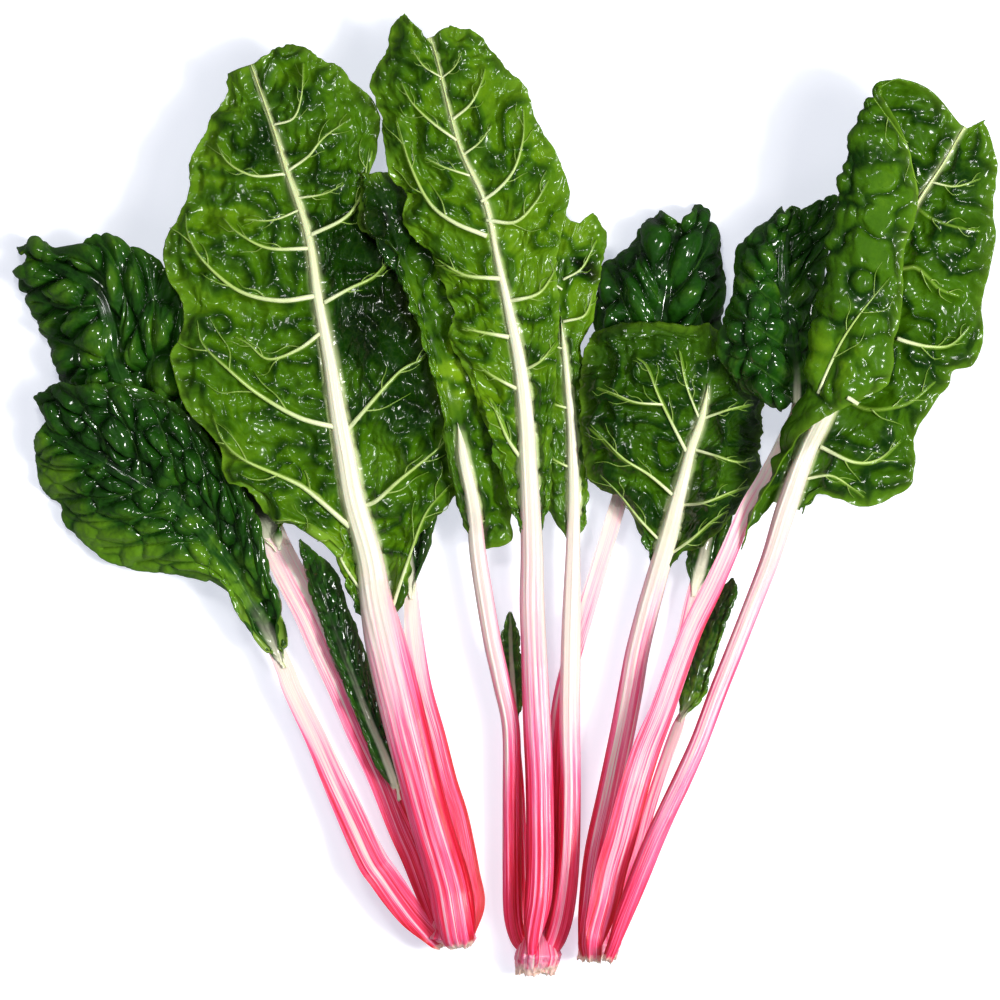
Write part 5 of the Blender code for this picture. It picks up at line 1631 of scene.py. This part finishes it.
def stalk_look(name):
    """Cream above, then pink with crimson streaks along its ridges, and pale at its torn end."""
    look, tree, shader = new_look(name)
    over, down, level = (attribute(tree, key) for key in ("across", "along", "level"))
    streak, groove = attribute(tree, "streak"), attribute(tree, "groove")
    torn, inside = attribute(tree, "torn"), attribute(tree, "in_blade")
    joined = tree.nodes.new("ShaderNodeCombineXYZ")
    feed(tree, joined.inputs[0], over)
    feed(tree, joined.inputs[1], calc(tree, "MULTIPLY", down, 0.010))
    wide = noise(tree, joined.outputs[0], 0.26, 2.0, 0.5)
    streaks = noise(tree, joined.outputs[0], 0.80, 3.0, 0.6)
    fibres = noise(tree, joined.outputs[0], 2.6, 3.0, 0.6)
    swing = summed(tree, centred(tree, wide, 1.2), centred(tree, streaks, 1.45),
                   centred(tree, fibres, 1.3), calc(tree, "MULTIPLY", groove, 0.10))
    level = summed(tree, level, calc(tree, "MULTIPLY", swing, streak))
    colour = in_steps(tree, level, STALK_CREAM, STALK_STEPS)
    pale = in_steps(tree, inside, RIB_CREAM, RIB_STEPS)
    colour = blend(tree, ramp(tree, inside, 0.0, 0.25), colour, pale)
    fine = noise(tree, place(tree), TORN_SCALE, 4.0)
    ragged = summed(tree, torn, centred(tree, fine, 1.2))
    colour = in_steps(tree, ragged, colour, TORN_STEPS)
    tan = calc(tree, "MULTIPLY", ramp(tree, fine, 0.54, 0.68), ramp(tree, torn, 0.5, 1.0))
    feed(tree, shader.inputs["Base Color"], painted(tree, colour, tan, 0.75, TORN_TAN))
    set_sockets(shader, Roughness=0.36, Coat_Weight=0.22, Coat_Roughness=0.18,
                Subsurface_Weight=0.20, Subsurface_Radius=(0.004, 0.0015, 0.001),
                Subsurface_Scale=1.0)
    bump(tree, shader, summed(tree, calc(tree, "MULTIPLY", streaks, 0.6), fibres), 0.4, 0.0007)
    return look


def add_floor():
    """A glowing white floor that the bunch lies on and that shows in no reflection."""
    half = FLOOR_HALF
    mesh = bpy.data.meshes.new("floor")
    mesh.from_pydata([(-half, -half, 0), (half, -half, 0), (half, half, 0), (-half, half, 0)], [],
                     [(0, 1, 2, 3)])
    floor = bpy.data.objects.new("floor", mesh)
    bpy.context.scene.collection.objects.link(floor)
    look, _, shader = new_look("floor_white")
    set_sockets(shader, Base_Color=FLOOR_COLOUR, Roughness=0.8, Specular_IOR_Level=0.05,
                Emission_Color=FLOOR_GLOW_COLOUR, Emission_Strength=FLOOR_GLOW)
    mesh.materials.append(look)
    floor.visible_glossy = False


def add_light(name, place_at, size, energy, colour, glints):
    """A square light aimed at the bunch; without glints it shows in no reflection."""
    light = bpy.data.lights.new(name, "AREA")
    light.shape = "SQUARE"
    light.size = size
    light.energy = energy
    light.color = colour
    lamp = bpy.data.objects.new(name, light)
    lamp.location = place_at
    aim = Vector(place_at) - Vector(LIGHTS_AIM)
    lamp.rotation_euler = aim.to_track_quat("Z", "Y").to_euler()
    lamp.visible_glossy = glints
    bpy.context.scene.collection.objects.link(lamp)


def add_world():
    world = bpy.data.worlds.new("studio")
    world.use_nodes = True
    background = world.node_tree.nodes["Background"]
    background.inputs["Color"].default_value = (*WORLD_COLOUR, 1.0)
    background.inputs["Strength"].default_value = WORLD_LIGHT
    bpy.context.scene.world = world


def add_camera():
    """The photo's camera, straight above the middle of the drawing grid."""
    data = bpy.data.cameras.new("camera")
    data.sensor_width = CAMERA_SENSOR
    data.lens = CAMERA_SENSOR * (CAMERA_HEIGHT - PHOTO_LEVEL) / FRAME_WIDTH
    data.clip_end = CAMERA_FAR
    camera = bpy.data.objects.new("camera", data)
    camera.location = ((CAMERA_X - MIDDLE_X) * STEP, height_on_grid(CAMERA_Y), CAMERA_HEIGHT)
    bpy.context.scene.collection.objects.link(camera)
    bpy.context.scene.camera = camera


def main():
    looks = {"upper": blade_look("blade_upper_side", UPPER_TONES),
             "underside": blade_look("blade_underside", UNDERSIDE_TONES),
             "vein": vein_look("side_veins")}
    stalk = stalk_look("stalk")
    cells = int(2 * TABLE_HALF / TABLE_CELL) + 1
    heights = np.full((cells, cells), -LEAF_CLEARANCE)
    fine = int(2 * TABLE_HALF / FINE_CELL) + 2
    tops = np.full((fine, fine), -FINE_GAP)
    for leaf in LEAVES:
        blade_lift, stalk_lift = lay_down(leaf, heights)
        add_blade(leaf, blade_lift, looks, tops)
        add_stalk(leaf, stalk_lift, stalk, tops)
    for stub in CROWNS:
        add_crown(stub, stalk)
    add_floor()
    add_world()
    for light in LIGHTS:
        add_light(*light)
    add_camera()
    bpy.context.scene.view_settings.view_transform = "Standard"


main()
bpy.context.view_layer.update()
